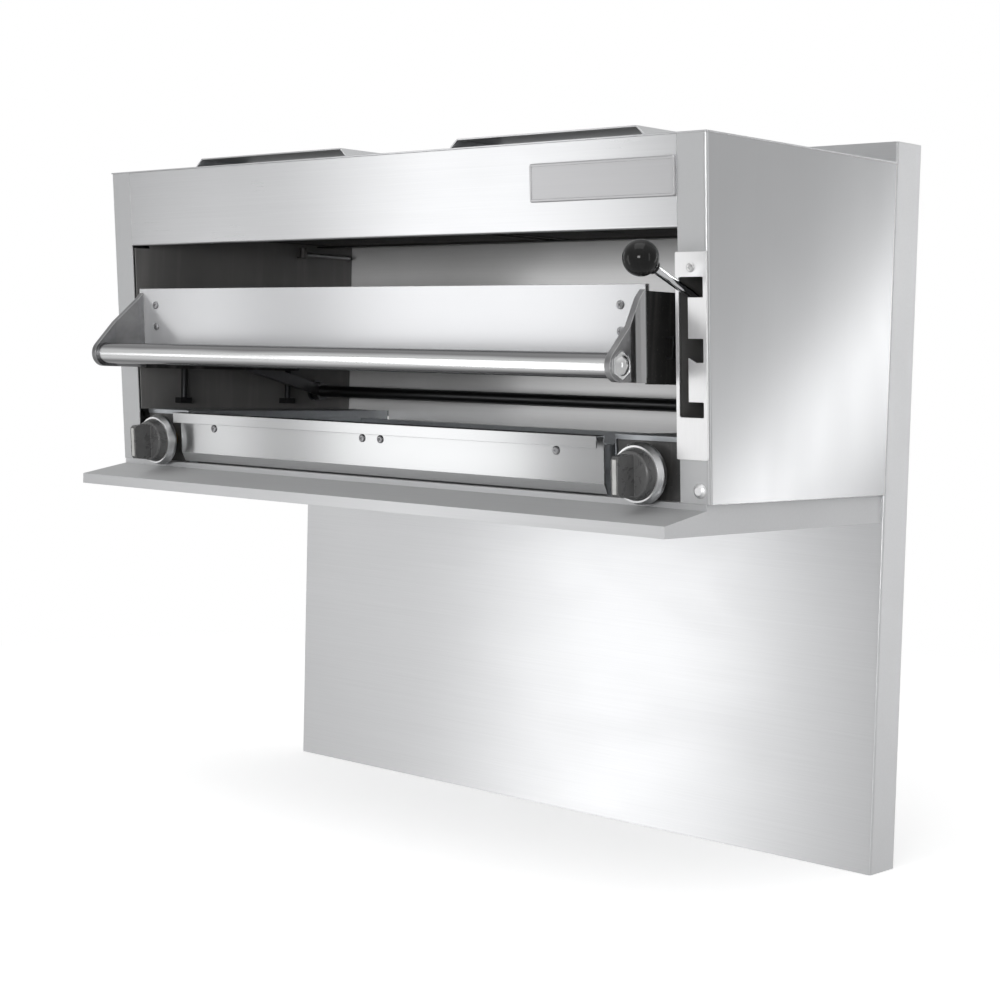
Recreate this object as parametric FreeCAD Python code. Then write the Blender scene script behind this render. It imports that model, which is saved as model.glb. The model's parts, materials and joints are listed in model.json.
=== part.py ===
import FreeCAD, Part

import math
import os

V = FreeCAD.Vector

# A gas salamander broiler with a tall back riser, in millimetres.
# X runs to the right, Y to the back, Z up. It is drawn from the middle of the cabinet's
# bottom front edge, and moved to the middle of the riser's bolt holes when it is saved.

# Cabinet
cabinet_width = 922.0
cabinet_height = 356.0
cabinet_depth = 314.0
front_lean = 25.0
sheet = 1.5
corner_radius = 2.5
post_radius = 4.0
post_width = 36.0
header_height = 90.0
header_return = 22.0
header_lip = 12.0
flush_gap = 0.2

# Riser behind and below the cabinet
riser_depth = 47.0
riser_drop = 416.0
riser_rise = 22.0
riser_foot = 30.0
riser_post_sheet = 2.0
riser_post_width = 30.0
range_hole_height = 100.0
range_hole_spacing = 120.0
range_hole_radius = 5.5
riser_cap_lap = 20.0
rear_cover_sheet = 1.0
rear_cover_foot = 56.0
rear_cover_top_gap = 2.0
rear_cover_side_gap = 1.0

# Spill tray under the cabinet
tray_side_gap = 4.0
tray_reach = 65.0
tray_depth = 30.0
tray_lip = 12.0
tray_step = 6.0
stud_radius = 7.5
stud_crown_radius = 4.0
stud_out = 3.6
stud_inset = 12.0
stud_height = 13.0

# Name plate, left bare
plate_width = 186.0
plate_height = 39.0
plate_thickness = 3.0
plate_rim = 3.0
plate_recess = 0.6
plate_edge_gap = 0.5
plate_drop = 40.5

# Flue hats on the top
flue_gap_half = 62.0
flue_hat_width = 308.0
flue_hat_depth = 86.0
flue_hat_height = 16.0
flue_hat_slope = 16.0
flue_hat_foot = 14.0
flue_hat_setback = 45.0
flue_hole_margin = 34.0

# Chamber lining
liner_sheet = 1.5
liner_gap = 0.2
liner_top_gap = 16.0
chamber_rear_gap = 7.0
liner_clearance = 0.3
bay_width = 86.0
bay_height = 62.0
bay_hem = 6.0
valve_plate_setback = 16.0
guide_foot = 13.0

# Grease drawer
drawer_offset = -7.0
drawer_sheet = 1.5
drawer_top = 62.0
drawer_pull_out = 12.0
drawer_pull_height = 12.0
drawer_foot_height = 13.0
drawer_foot_back = 4.5
drawer_floor_gap = 2.5
drawer_side_gap = 3.0
drawer_screw_height = 44.0
drawer_screw_far = 273.0
drawer_screw_near = 14.5
pan_sheet = 1.2
pan_rear_gap = 35.0
pan_height = 52.0
pan_rim = 2.5
pan_running_gap = 0.3
pan_side_gap = 1.0

# Screws
screw_radius = 2.0
screw_head_radius = 4.5
screw_head_height = 2.0
screw_length = 7.0
screw_clearance = 0.2
screw_head_bevel = 0.9

# Sliding rack
rack_side_gap = 29.0
rack_sheet = 1.5
rack_plate = 2.8
rack_front_out = 14.0
rack_front_bottom = 122.0
rack_front_top = 213.0
rack_hem = 10.0
rack_plate_bottom = 114.5
rack_plate_top = 205.0
rack_rear_gap = 10.0
rack_heel = 30.0
rack_heel_height = 34.0
rack_flange = 38.0
rack_screw_inset = 31.0
rack_screw_heights = (167.0, 193.0)
rack_rear_height = 55.0
ledge_height = 180.0
ledge_width = 12.0
ledge_edge = 3.0
ledge_root = 8.0
runner_width = 8.0
runner_height = 17.0
runner_length = 122.0
runner_bottom = 142.4
running_gap = 0.4

# Cast grids
grid_height = 15.0
grid_rim = 10.0
grid_end_gap = 2.0
grid_rear_gap = 6.0
grid_front_gap = 4.0
bar_pitch = 24.0
bar_width = 8.0

# Handle
handle_radius = 12.5
handle_wall = 1.5
handle_out = 66.0
handle_height = 137.0
handle_past_rack = 7.0
bracket_top = 208.0
bracket_bottom = 117.0
bracket_thickness = 7.0
bracket_foot = 8.0
bracket_flare = 10.0
bracket_flare_length = 28.0
boss_radius = 16.0
nut_width = 24.0
nut_height = 2.5
dome_radius = 10.0
dome_height = 5.0
socket_clearance = 0.1

# Lift carriage
rail_sheet = 2.0
rail_front = 5.0
rail_shaft_gap = 18.0
tie_depth = 8.0
tie_height = 16.0
guide_rod_radius = 4.0
guide_fit = 0.08
guide_block = 18.0
guide_boss_bottom = 146.0
guide_boss_height = 15.0
guide_front = 60.0
guide_rear_gap = 37.0
guide_bottom = 78.0
guide_top = 204.0
guide_foot_height = 7.0
hanger_width = 30.0
hanger_edge = 3.0
slot_play = 0.4

# Lift shaft, arms and lever
shaft_rear_gap = 71.0
shaft_z = 88.0
shaft_radius = 7.5
shaft_fit = 0.05
bush_radius = 11.0
bush_flange_radius = 14.0
bush_flange = 3.5
arm_gap = 1.5
arm_thickness = 4.0
arm_width = 15.0
arm_hub_radius = 12.0
arm_hub_length = 10.0
arm_pin_radius = 4.0
arm_length = 139.5
arm_rise = 34.0
lever_rest = 21.25
lever_radius = 4.5
lever_length = 400.0
lever_inset = 7.5
fork_length = 52.0
fork_slot_start = 27.0
fork_half_height = 9.0
fork_half_width = 5.5
fork_play = 0.2
fork_pin_reach = 42.0
fork_pin_radius = 2.5
fork_hub_radius = 12.5
fork_hub_length = 18.0
ball_radius = 17.5
ball_bore = 13.0
ball_neck_radius = 7.0
ball_neck = 4.0

# Gate plate
gate_thickness = 2.0
gate_bottom = 43.0
gate_top = 243.0
gate_left_edge = 2.0
gate_right_edge = 0.8
gate_slot_left = 2.0
gate_slot_width = 11.0
gate_slot_bottom = 84.0
gate_slot_top = 219.0
notch_reach = 18.0
notches = ((84.0, 99.0), (137.0, 160.0), (199.5, 219.0))
gate_window_margin = 4.0
notch_ramp = 4.5
gate_screw_height = 228.0

# Gas knobs and valves
knob_inset = 45.0
knob_height = 27.0
knob_gap = 3.0
skirt_radius = 31.0
skirt_front_radius = 28.5
skirt_inner = 26.5
skirt_thickness = 11.0
skirt_straight = 4.0
knob_skirt_fit = 0.05
knob_base_height = 21.0
knob_face_radius = 23.5
knob_face_bevel = 1.2
grip_root = 14.0
grip_width = 8.5
grip_height = 22.0
grip_length = 41.0
grip_round = 6.0
stem_radius = 4.0
stem_fit = 0.05
stem_out = 20.0
stem_back = 30.0
bonnet_radius = 9.0
bonnet_fit = 0.3
valve_radius = 13.0
valve_back = 50.0
valve_tail_radius = 8.0
valve_outlet_back = 34.0
valve_outlet_radius = 7.0
valve_outlet_length = 16.0

# Gas pipes
manifold_radius = 10.65
manifold_setback = 68.0
manifold_side_gap = 15.0
manifold_stub = 60.0
manifold_rear_gap = 26.0
inlet_inset = 60.0
inlet_radius = 16.5
inlet_bore = 12.1
inlet_length = 18.0
tube_radius = 4.75
tube_bend = 8.0
tube_side_gap = 13.0
tube_height = 52.0
tube_rear_gap = 31.0
tube_cavity = 16.0
pipe_hole_clearance = 1.5
pilot_tube_radius = 2.5
pilot_bend = 6.0
pilot_rear_gap = 15.0
pilot_cavity = 20.0
pilot_drop = 12.0
pilot_side = 10.0
pilot_run = 84.0
pilot_valve_gap = 85.0
pilot_valve_length = 18.0
pilot_valve_radius = 6.0
pilot_head_radius = 5.0
pilot_head_height = 14.0

# Burners
burner_drop = 74.0
burner_height = 40.0
burner_front = 26.0
burner_rear_gap = 61.0
burner_middle_gap = 12.0
burner_side_gap = 15.0
burner_wall = 4.0
burner_rim = 6.0
tile_rows = 2
tile_columns = 3
tile_thickness = 12.0
tile_gap = 4.0
rail_flange = 14.0
rail_leg = 9.0
rail_gap = 3.0
venturi_radius = 15.0
venturi_wall = 1.5
venturi_mouth = 19.0
venturi_rise = 26.0
venturi_entry = 150.0
orifice_radius = 6.0
orifice_length = 12.0
orifice_gap = 6.0

# Values worked out from those above
lean_angle = math.atan2(front_lean, cabinet_height)
half_width = cabinet_width / 2
opening_half = half_width - post_width
rear_face = cabinet_depth + riser_depth
header_bottom = cabinet_height - header_height
plate_middle_height = cabinet_height - plate_drop
liner_top = cabinet_height - liner_top_gap
chamber_depth = rear_face - chamber_rear_gap
manifold_rear = rear_face - manifold_rear_gap
tube_rear = rear_face - tube_rear_gap
pilot_rear = rear_face - pilot_rear_gap
pilot_reach = pilot_rear - pilot_run
pilot_valve_y = manifold_rear - pilot_valve_gap
pan_length = manifold_rear - pan_rear_gap
burner_back = rear_face - burner_rear_gap
burner_bottom = cabinet_height - burner_drop
venturi_height = burner_bottom + venturi_rise
pilot_height = burner_bottom - pilot_drop
shaft_y = rear_face - shaft_rear_gap
rail_rear = shaft_y - rail_shaft_gap
rack_length = rail_rear - rack_rear_gap
guide_back = rail_rear - guide_rear_gap
top_of_sides = cabinet_height - sheet
riser_bottom = -riser_drop
riser_top = cabinet_height + riser_rise
liner_outer = opening_half - liner_gap
liner_inner = liner_outer - liner_sheet
bay_half = opening_half - bay_width
bay_right = bay_half + drawer_offset
bay_left = bay_half - drawer_offset
tray_half = half_width - tray_side_gap
rack_half = opening_half - rack_side_gap
rack_panel_back = rack_front_out - rack_sheet
boss_inner = rack_half - bracket_thickness + bracket_flare
boss_outer = rack_half + bracket_flare
rail_inner = rack_half + runner_width + running_gap
rail_outer = rail_inner + rail_sheet
rail_bottom = runner_bottom - running_gap - rail_sheet
rail_top = runner_bottom + runner_height + running_gap + rail_sheet
arm_inner = rail_outer + arm_gap
arm_outer = arm_inner + arm_thickness
guide_rod_x = arm_outer + 1.0 + guide_rod_radius
lever_x = opening_half + lever_inset
knob_x = opening_half - knob_inset
manifold_x = opening_half - manifold_side_gap
tube_x = opening_half - tube_side_gap
tube_cavity_x = opening_half + tube_cavity
pilot_cavity_x = opening_half + pilot_cavity
pilot_x = opening_half - pilot_side
arm_pin_y = shaft_y - math.sqrt(arm_length ** 2 - arm_rise ** 2)
arm_pin_z = shaft_z + arm_rise
gate_middle = (opening_half - gate_left_edge + half_width - gate_right_edge) / 2
range_hole_x = half_width - sheet - riser_post_width / 2
range_hole_z = riser_bottom + range_hole_height


def box(x0, x1, y0, y1, z0, z1):
    return Part.makeBox(x1 - x0, y1 - y0, z1 - z0, V(x0, y0, z0))


def rod(radius, start, end):
    axis = end.sub(start)
    return Part.makeCylinder(radius, axis.Length, start, axis)


def fused(shapes):
    whole = shapes[0]
    for shape in shapes[1:]:
        whole = whole.fuse(shape)
    return whole.removeSplitter()


def outline(points):
    return Part.Face(Part.makePolygon(points + points[:1]))


def prism_x(points, x0, x1):
    return outline([V(x0, y, z) for y, z in points]).extrude(V(x1 - x0, 0, 0))


def prism_y(points, y0, y1):
    return outline([V(x, y0, z) for x, z in points]).extrude(V(0, y1 - y0, 0))


def prism_z(points, z0, z1):
    return outline([V(x, y, z0) for x, y in points]).extrude(V(0, 0, z1 - z0))


def strip(points, thickness):
    """Closed outline of a folded sheet whose thickness lies to the left of the line."""
    normals = []
    for (ax, ay), (bx, by) in zip(points, points[1:]):
        length = math.hypot(bx - ax, by - ay)
        normals.append(((ay - by) / length, (bx - ax) / length))
    shifted = []
    for index, (px, py) in enumerate(points):
        before = normals[max(index - 1, 0)]
        after = normals[min(index, len(normals) - 1)]
        reach = thickness / (1 + before[0] * after[0] + before[1] * after[1])
        shifted.append((px + reach * (before[0] + after[0]), py + reach * (before[1] + after[1])))
    return list(points) + shifted[::-1]


def fold_x(points, thickness, x0, x1):
    return prism_x(strip(points, thickness), x0, x1)


def fold_y(points, thickness, y0, y1):
    return prism_y(strip(points, thickness), y0, y1)


def fold_z(points, thickness, z0, z1):
    return prism_z(strip(points, thickness), z0, z1)


def mirrored(shape):
    return shape.mirror(V(0, 0, 0), V(1, 0, 0))


def leaned(shape):
    """Turns a shape drawn on an upright front face onto the leaning one."""
    turned = shape.copy()
    turned.rotate(V(0, 0, 0), V(1, 0, 0), math.degrees(lean_angle))
    return turned


def on_front(x, out, up):
    """The point at a distance out from the leaning front face, and up along it."""
    y = -out * math.cos(lean_angle) - up * math.sin(lean_angle)
    z = up * math.cos(lean_angle) - out * math.sin(lean_angle)
    return V(x, y, z)


def front_y(z, inset):
    """Where a line set behind the leaning front face stands at a height."""
    return inset / math.cos(lean_angle) - z * math.tan(lean_angle)


def rounded(shape, radius, wanted):
    edges = [edge for edge in shape.Edges if wanted(edge)]
    return shape.makeFillet(radius, edges) if edges else shape


def bevelled(shape, size, wanted):
    edges = [edge for edge in shape.Edges if wanted(edge)]
    return shape.makeChamfer(size, edges) if edges else shape


def runs_along(edge, axis):
    if len(edge.Vertexes) != 2:
        return False
    step = edge.Vertexes[1].Point.sub(edge.Vertexes[0].Point)
    return step.cross(axis).Length < 0.01 * step.Length


def eased_corners(points, bend):
    """The route with each corner taken off, so that no turn is sharper than half of it."""
    route = [points[0]]
    for before, corner, after in zip(points, points[1:], points[2:]):
        back = before.sub(corner).normalize()
        ahead = after.sub(corner).normalize()
        trim = bend / math.tan(back.getAngle(ahead) / 2)
        route.append(corner.add(back.multiply(trim)))
        route.append(corner.add(ahead.multiply(trim)))
    return route + [points[-1]]


def piped(points, radius):
    """Round bar or pipe along straight runs, mitred where they meet."""
    circle = Part.Wire(Part.Circle(points[0], points[1].sub(points[0]), radius).toShape())
    right_corners = 1
    return Part.makePolygon(points).makePipeShell([circle], True, True, right_corners)


def side_outline(inset):
    """The cabinet seen from the side, inset all round."""
    low = inset
    high = top_of_sides - inset
    back = cabinet_depth - inset
    return [(front_y(low, inset), low), (front_y(high, inset), high), (back, high), (back, low)]


def on_front_corner(inset):
    """Picks the edge that runs up the right front corner, inset from the outer faces."""
    x = half_width - inset
    line = leaned(rod(0.5, V(x, inset, -sheet), V(x, inset, cabinet_height + sheet)))
    return lambda edge: all(line.distToShape(v)[0] < 0.01 for v in edge.Vertexes)


def side_panel():
    """Right side: a flat skin with a flange folded in on all four sides."""
    skin = prism_x(side_outline(0), opening_half, half_width)
    hollow = prism_x(side_outline(sheet), opening_half - 1, half_width - sheet)
    skin = rounded(skin, post_radius, on_front_corner(0))
    return skin.cut(rounded(hollow, post_radius - sheet, on_front_corner(sheet)))


def right_side_panel():
    """The right post also has the window that the gate plate covers."""
    slot_left = opening_half + gate_slot_left
    window = leaned(box(opening_half - 1, slot_left + gate_slot_width + notch_reach + 1.0,
                        -1, sheet + 1,
                        gate_slot_bottom - gate_window_margin, gate_slot_top + gate_window_margin))
    screw_way = leaned(screw_hole(gate_middle, gate_screw_height, -1, sheet + 1))
    return side_panel().cut(window).cut(screw_way)


def top_panel():
    plate = box(-half_width, half_width, -front_lean, cabinet_depth, top_of_sides, cabinet_height)
    for side in (-1, 1):
        middle = side * (flue_gap_half + flue_hat_width / 2)
        reach = flue_hat_width / 2 - flue_hole_margin
        start = flue_hat_setback - front_lean
        plate = plate.cut(box(middle - reach, middle + reach, start + 10, start + flue_hat_depth - 10,
                              top_of_sides - 1, cabinet_height + 1))
    return plate


def flue_hats():
    """Two low hats with sloping ends over the flue slots."""
    hats = []
    for side in (-1, 1):
        left = side * (flue_gap_half + flue_hat_width / 2) - flue_hat_width / 2
        right = left + flue_hat_width
        low = cabinet_height
        high = cabinet_height + flue_hat_height
        rise = flue_hat_foot + flue_hat_slope
        line = [(right, low + sheet), (right - flue_hat_foot, low + sheet), (right - rise, high),
                (left + rise, high), (left + flue_hat_foot, low + sheet), (left, low + sheet)]
        start = flue_hat_setback - front_lean
        hats.append(fold_y(line, sheet, start, start + flue_hat_depth))
    return Part.makeCompound(hats)


def header_panel():
    """Front valance: face, top return, and a bottom return with an upturned lip."""
    top = top_of_sides / math.cos(lean_angle) - flush_gap
    line = [(header_return, top - header_return * math.tan(lean_angle)), (0, top), (0, header_bottom),
            (header_return, header_bottom), (header_return, header_bottom + header_lip)]
    half = opening_half - flush_gap
    face = fold_x(line, sheet, -half, half)

    def lower_corner(edge):
        return all(abs(v.Y) < 0.01 and abs(v.Z - header_bottom) < 0.01 for v in edge.Vertexes)

    return leaned(rounded(face, corner_radius, lower_corner))


def name_plate():
    """Bare plate with a raised rim at the right end of the header."""
    right = opening_half - plate_edge_gap
    low = plate_middle_height - plate_height / 2
    plate = box(right - plate_width, right, -plate_thickness, 0, low, low + plate_height)
    plate = rounded(plate, plate_rim, lambda edge: runs_along(edge, V(0, 1, 0)))
    plate = bevelled(plate, plate_thickness / 3,
                     lambda edge: all(abs(v.Y + plate_thickness) < 0.01 for v in edge.Vertexes))
    floor = box(right - plate_width + plate_rim, right - plate_rim,
                -plate_thickness - 1, plate_recess - plate_thickness,
                low + plate_rim, low + plate_height - plate_rim)
    return leaned(plate.cut(floor))


def riser_panel():
    """Stainless riser: front sheet below the cabinet, side returns over the full height, a foot."""
    line = [(-half_width, rear_face), (-half_width, cabinet_depth),
            (half_width, cabinet_depth), (half_width, rear_face)]
    panel = fold_z(line, sheet, riser_bottom, riser_top)

    def front_corner(edge):
        upright = runs_along(edge, V(0, 0, 1))
        return upright and all(abs(abs(v.X) - half_width) < 0.01 and abs(v.Y - cabinet_depth) < 0.01
                               for v in edge.Vertexes)

    panel = rounded(panel, corner_radius, front_corner)
    inner = half_width - sheet
    back = cabinet_depth + corner_radius + sheet
    panel = panel.cut(box(-inner, inner, cabinet_depth - 1, back, 0, riser_top + 1))
    foot = box(-inner, inner, cabinet_depth + sheet, cabinet_depth + riser_foot,
               riser_bottom, riser_bottom + sheet)
    return fused([panel, foot])


def riser_cap():
    """Upstand and cap across the top of the riser."""
    line = [(cabinet_depth, cabinet_height), (cabinet_depth, riser_top),
            (rear_face, riser_top), (rear_face, cabinet_height - riser_cap_lap)]
    return fold_x(line, -sheet, -half_width + sheet, half_width - sheet)


def riser_post():
    """Right-hand channel in the riser, with the bolt holes for the range."""
    inner = half_width - sheet - riser_post_width
    outer = half_width - sheet
    front = cabinet_depth + sheet
    line = [(inner, front), (outer, front), (outer, rear_face), (inner, rear_face)]
    post = fold_z(line, riser_post_sheet, riser_bottom + sheet, cabinet_height - riser_cap_lap)
    for step in (-0.5, 0.5):
        z = range_hole_z + step * range_hole_spacing
        post = post.cut(rod(range_hole_radius, V(range_hole_x, rear_face - 10, z),
                            V(range_hole_x, rear_face + 1, z)))
    return post


def rear_cover():
    """Galvanised sheet behind the chamber; the gas inlet is reached below it."""
    half = half_width - sheet - riser_post_sheet - rear_cover_side_gap
    back = rear_face - riser_post_sheet
    return box(-half, half, back - rear_cover_sheet, back,
               rear_cover_foot, cabinet_height - riser_cap_lap - rear_cover_top_gap)


def spill_tray():
    """Hollow base of the cabinet that reaches forward as a sloping shelf with a lip."""
    skin = [(-tray_reach, -tray_depth), (cabinet_depth, -tray_depth), (cabinet_depth, 0), (0, 0),
            (0, -tray_step), (-tray_reach, -tray_depth + tray_lip)]
    outer = prism_x(skin, -tray_half, tray_half)
    hollow = outline([V(-tray_half + sheet, y, z) for y, z in skin]).makeOffset2D(-sheet)
    hollow = hollow.extrude(V(2 * (tray_half - sheet), 0, 0))
    open_back = box(-tray_half + sheet, tray_half - sheet, cabinet_depth - sheet - 1,
                    cabinet_depth + 1, -tray_depth + sheet, -sheet)
    return outer.cut(hollow).cut(open_back)


def post_stud():
    """Crowned stud at the foot of the right post."""
    x = half_width - stud_inset
    shoulder = (stud_radius + stud_crown_radius) / 2 + 0.8
    lower = Part.makeCone(stud_radius, shoulder, stud_out / 2, V(x, 0, stud_height), V(0, -1, 0))
    upper = Part.makeCone(shoulder, stud_crown_radius, stud_out / 2,
                          V(x, -stud_out / 2, stud_height), V(0, -1, 0))
    return leaned(fused([lower, upper]))


def liner_side():
    """Right chamber wall, with the holes for the lift shaft and the gas tubes."""
    low = bay_height + sheet
    step = header_bottom - 3
    back = chamber_depth - liner_clearance
    line = [(front_y(low, 3), low), (front_y(step, 3), step), (header_return - 14, step),
            (header_return - 14, liner_top), (back, liner_top), (back, low)]
    wall = prism_x(line, liner_inner, liner_outer)
    holes = [(shaft_y, shaft_z, bush_radius + 0.1),
             (tube_rear, venturi_height, tube_radius + pipe_hole_clearance),
             (pilot_rear, pilot_height, pilot_tube_radius + pipe_hole_clearance)]
    for y, z, radius in holes:
        wall = wall.cut(rod(radius, V(liner_inner - 5, y, z), V(liner_outer + 5, y, z)))
    return wall


def liner_back():
    """Bright back wall of the chamber; a tongue goes down behind the grease drawer."""
    low = bay_height + sheet
    left = 1 - bay_left
    right = bay_right - 1
    line = [(-liner_inner, liner_top), (-liner_inner, low), (left, low), (left, 0.1),
            (right, 0.1), (right, low), (liner_inner, low), (liner_inner, liner_top)]
    return prism_y(line, chamber_depth, chamber_depth + liner_sheet)


def bay_cover(edge):
    """Right-hand valve bay: a lid with a front hem, and the wall beside the drawer."""
    high = bay_height + sheet
    line = [(liner_outer, high), (edge, high), (edge, 0)]
    cover = fold_y(line, sheet, -10, chamber_depth - liner_clearance)
    hem = leaned(box(edge, liner_outer, valve_plate_setback - sheet, valve_plate_setback,
                     high - bay_hem, high + 5))
    hem = hem.common(box(edge, liner_outer, -10, 20, 0, high))
    cut_back = leaned(box(-half_width, half_width, -cabinet_height, valve_plate_setback - sheet,
                          -cabinet_height, cabinet_height))
    pipe_z = manifold_points()[0].z
    pipe_hole = rod(manifold_radius + pipe_hole_clearance, V(edge - 5, manifold_rear, pipe_z),
                    V(edge + 5, manifold_rear, pipe_z))
    cover = fused([cover.cut(cut_back), hem]).cut(pipe_hole)
    runner = box(edge - guide_foot, edge, valve_plate_setback, pan_length, 0, sheet)
    return Part.makeCompound([cover, runner])


def valve_plate(edge):
    """Plate behind the right knob that the valve's bonnet passes through."""
    low = -valve_plate_setback * math.tan(lean_angle)
    plate = box(edge + 2 * sheet, opening_half - flush_gap,
                valve_plate_setback, valve_plate_setback + sheet, low, bay_height - 2)
    hole = rod(bonnet_radius + bonnet_fit, V(knob_x, 0, knob_height),
               V(knob_x, valve_plate_setback + 2 * sheet, knob_height))
    return leaned(plate.cut(hole))


def on_drawer(shape):
    """Moves a shape drawn about the middle to the drawer, which sits a little to the left."""
    moved = shape.copy()
    moved.translate(V(drawer_offset, 0, 0))
    return moved


def drawer_screw_places():
    return (-drawer_screw_far, -drawer_screw_near, drawer_screw_near, drawer_screw_far)


def screw(x, front, height):
    """Pan-head screw that goes straight back from a face, drawn on the upright front."""
    head = rod(screw_head_radius, V(x, front - screw_head_height, height), V(x, front, height))
    head = bevelled(head, screw_head_bevel,
                    lambda edge: all(abs(v.Y - front + screw_head_height) < 0.01 for v in edge.Vertexes))
    shank = rod(screw_radius, V(x, front, height), V(x, front + screw_length, height))
    return fused([head, shank])


def screw_hole(x, height, start, end):
    radius = screw_radius + screw_clearance
    return rod(radius, V(x, start, height), V(x, end, height))


def drawer_front():
    """Bright front of the grease drawer: its top folds forward and down to make a long pull."""
    knee = drawer_top - drawer_pull_height
    back = drawer_sheet
    line = [(-drawer_pull_out, knee), (-drawer_pull_out, drawer_top), (back, drawer_top),
            (back, drawer_foot_height), (back + drawer_foot_back, drawer_floor_gap)]
    half = bay_half - drawer_side_gap
    face = fold_x(line, -drawer_sheet, -half, half)
    for x in drawer_screw_places():
        face = face.cut(screw_hole(x, drawer_screw_height, -5, 10))
    return leaned(face)


def grease_pan():
    """Open pan behind the drawer front: a folded body with rims, and a front wall welded in."""
    half = bay_half - pan_side_gap - pan_rim
    low = sheet + pan_running_gap
    high = low + pan_height
    inset = drawer_sheet + 0.3
    knee = drawer_foot_height + 3
    foot = (drawer_foot_back + 4, low)
    face = [(front_y(high, inset), high), (front_y(knee, inset), knee), foot]
    wall = fold_x(face, pan_sheet, -half, half)
    body = prism_x(face + [(pan_length, low), (pan_length, high)], -half, half)
    body = body.cut(box(-half + pan_sheet, half - pan_sheet, -cabinet_depth,
                        pan_length - pan_sheet, low + pan_sheet, high + pan_sheet))
    for edge in (-1, 1):
        near = edge * (half - pan_sheet)
        far = edge * (half + pan_rim)
        body = body.fuse(box(min(near, far), max(near, far), face[0][0] + pan_sheet, pan_length,
                             high - pan_sheet, high))
    body = body.removeSplitter().cut(wall)
    for x in drawer_screw_places():
        wall = wall.cut(leaned(screw_hole(x, drawer_screw_height, -5, 12)))
    return Part.makeCompound([wall, body])


def drawer_screws():
    return leaned(Part.makeCompound([screw(x, 0, drawer_screw_height) for x in drawer_screw_places()]))


def rack_front():
    """Bright panel in front of the rack, with a hem folded back at its top and bottom."""
    out = -rack_front_out
    line = [(out + rack_hem, rack_front_top - 8), (out + rack_hem, rack_front_top),
            (out, rack_front_top), (out, rack_front_bottom), (out + rack_hem, rack_front_bottom)]
    inset = rack_plate + 0.3
    skin = [(out, rack_front_top), (out, rack_front_bottom)]
    hems = fold_x(line, rack_sheet, -rack_half + inset, rack_half - inset)
    face = fused([hems, fold_x(skin, rack_sheet, -rack_half, rack_half)])
    for side in (-1, 1):
        for height in rack_screw_heights:
            x = side * (rack_half - rack_screw_inset)
            face = face.cut(screw_hole(x, height, out - 5, out + 10))
    return leaned(face)


def rack_ledge():
    """Rib along the inside of the right rack side that carries the grid."""
    outer = rack_half - rack_plate / 2
    inner = rack_half - rack_plate - ledge_width
    line = [(outer, ledge_height), (inner, ledge_height), (inner, ledge_height - ledge_edge),
            (outer, ledge_height - ledge_root)]
    return prism_y(line, 0, rack_length - rack_plate)


def rack_plate_right():
    """Right side of the rack: a dark plate with a front flange and a rib that carries the grid."""
    inset = -rack_panel_back + 0.1
    line = [(front_y(rack_plate_bottom, inset), rack_plate_bottom),
            (front_y(rack_plate_top, inset), rack_plate_top), (rack_length, rack_plate_top),
            (rack_length, rack_plate_bottom + rack_heel_height),
            (rack_length - rack_heel, rack_plate_bottom)]
    web = prism_x(line, rack_half - rack_plate, rack_half)
    low = rack_front_bottom + rack_sheet + 2
    high = rack_front_top - 12
    tab = leaned(box(rack_half - rack_flange, rack_half - rack_plate / 2, inset,
                     inset + rack_plate, low, high))
    plate = fused([web, tab, rack_ledge()])
    for height in rack_screw_heights:
        x = rack_half - rack_screw_inset
        plate = plate.cut(leaned(screw_hole(x, height, -rack_front_out - 5, 5)))
    return plate


def rack_screws():
    heads = []
    for side in (-1, 1):
        for height in rack_screw_heights:
            heads.append(screw(side * (rack_half - rack_screw_inset), -rack_front_out, height))
    return leaned(Part.makeCompound(heads))


def rack_rear():
    """Plate that ties the two rack sides together at the back."""
    half = rack_half - rack_plate
    return box(-half, half, rack_length - rack_plate, rack_length,
               rack_plate_top - rack_rear_height, rack_plate_top)


def rack_runner():
    """Bar on the outside of the right rack side that slides in the carriage rail."""
    bar = box(rack_half, rack_half + runner_width, rack_length - runner_length, rack_length,
              runner_bottom, runner_bottom + runner_height)
    return bevelled(bar, 2.0, lambda edge: runs_along(edge, V(1, 0, 0)))


def grid():
    """Right-hand cast grid: a rim with wedge-shaped bars that run front to back."""
    left = grid_end_gap / 2
    right = rack_half - rack_plate - grid_end_gap
    front = grid_front_gap
    back = rack_length - rack_plate - grid_rear_gap
    low = ledge_height
    high = low + grid_height
    rim = box(left, right, front, back, low, high)
    rim = rim.cut(box(left + grid_rim, right - grid_rim, front + grid_rim, back - grid_rim,
                      low - 1, high + 1))
    span = right - left - 2 * grid_rim
    count = int(span // bar_pitch)
    first = left + grid_rim + (span - (count - 1) * bar_pitch) / 2
    bars = []
    for index in range(count):
        x = first + index * bar_pitch
        wedge = [(x - bar_width / 2, high), (x - bar_width / 2, high - 4), (x - 1.5, low + 1),
                 (x + 1.5, low + 1), (x + bar_width / 2, high - 4), (x + bar_width / 2, high)]
        bars.append(prism_y(wedge, front + grid_rim / 2, back - grid_rim / 2))
    return fused([rim] + bars)


def handle_bar():
    half = rack_half + handle_past_rack
    start = on_front(-half, handle_out, handle_height)
    end = on_front(half, handle_out, handle_height)
    return rod(handle_radius, start, end).cut(rod(handle_radius - handle_wall, start, end))


def touch_point(point, centre, radius, side):
    """Where a line from a point touches a circle, on the chosen side."""
    away_y = point[0] - centre[0]
    away_z = point[1] - centre[1]
    turn = math.atan2(away_z, away_y) + side * math.acos(radius / math.hypot(away_y, away_z))
    return (centre[0] + radius * math.cos(turn), centre[1] + radius * math.sin(turn))


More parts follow.
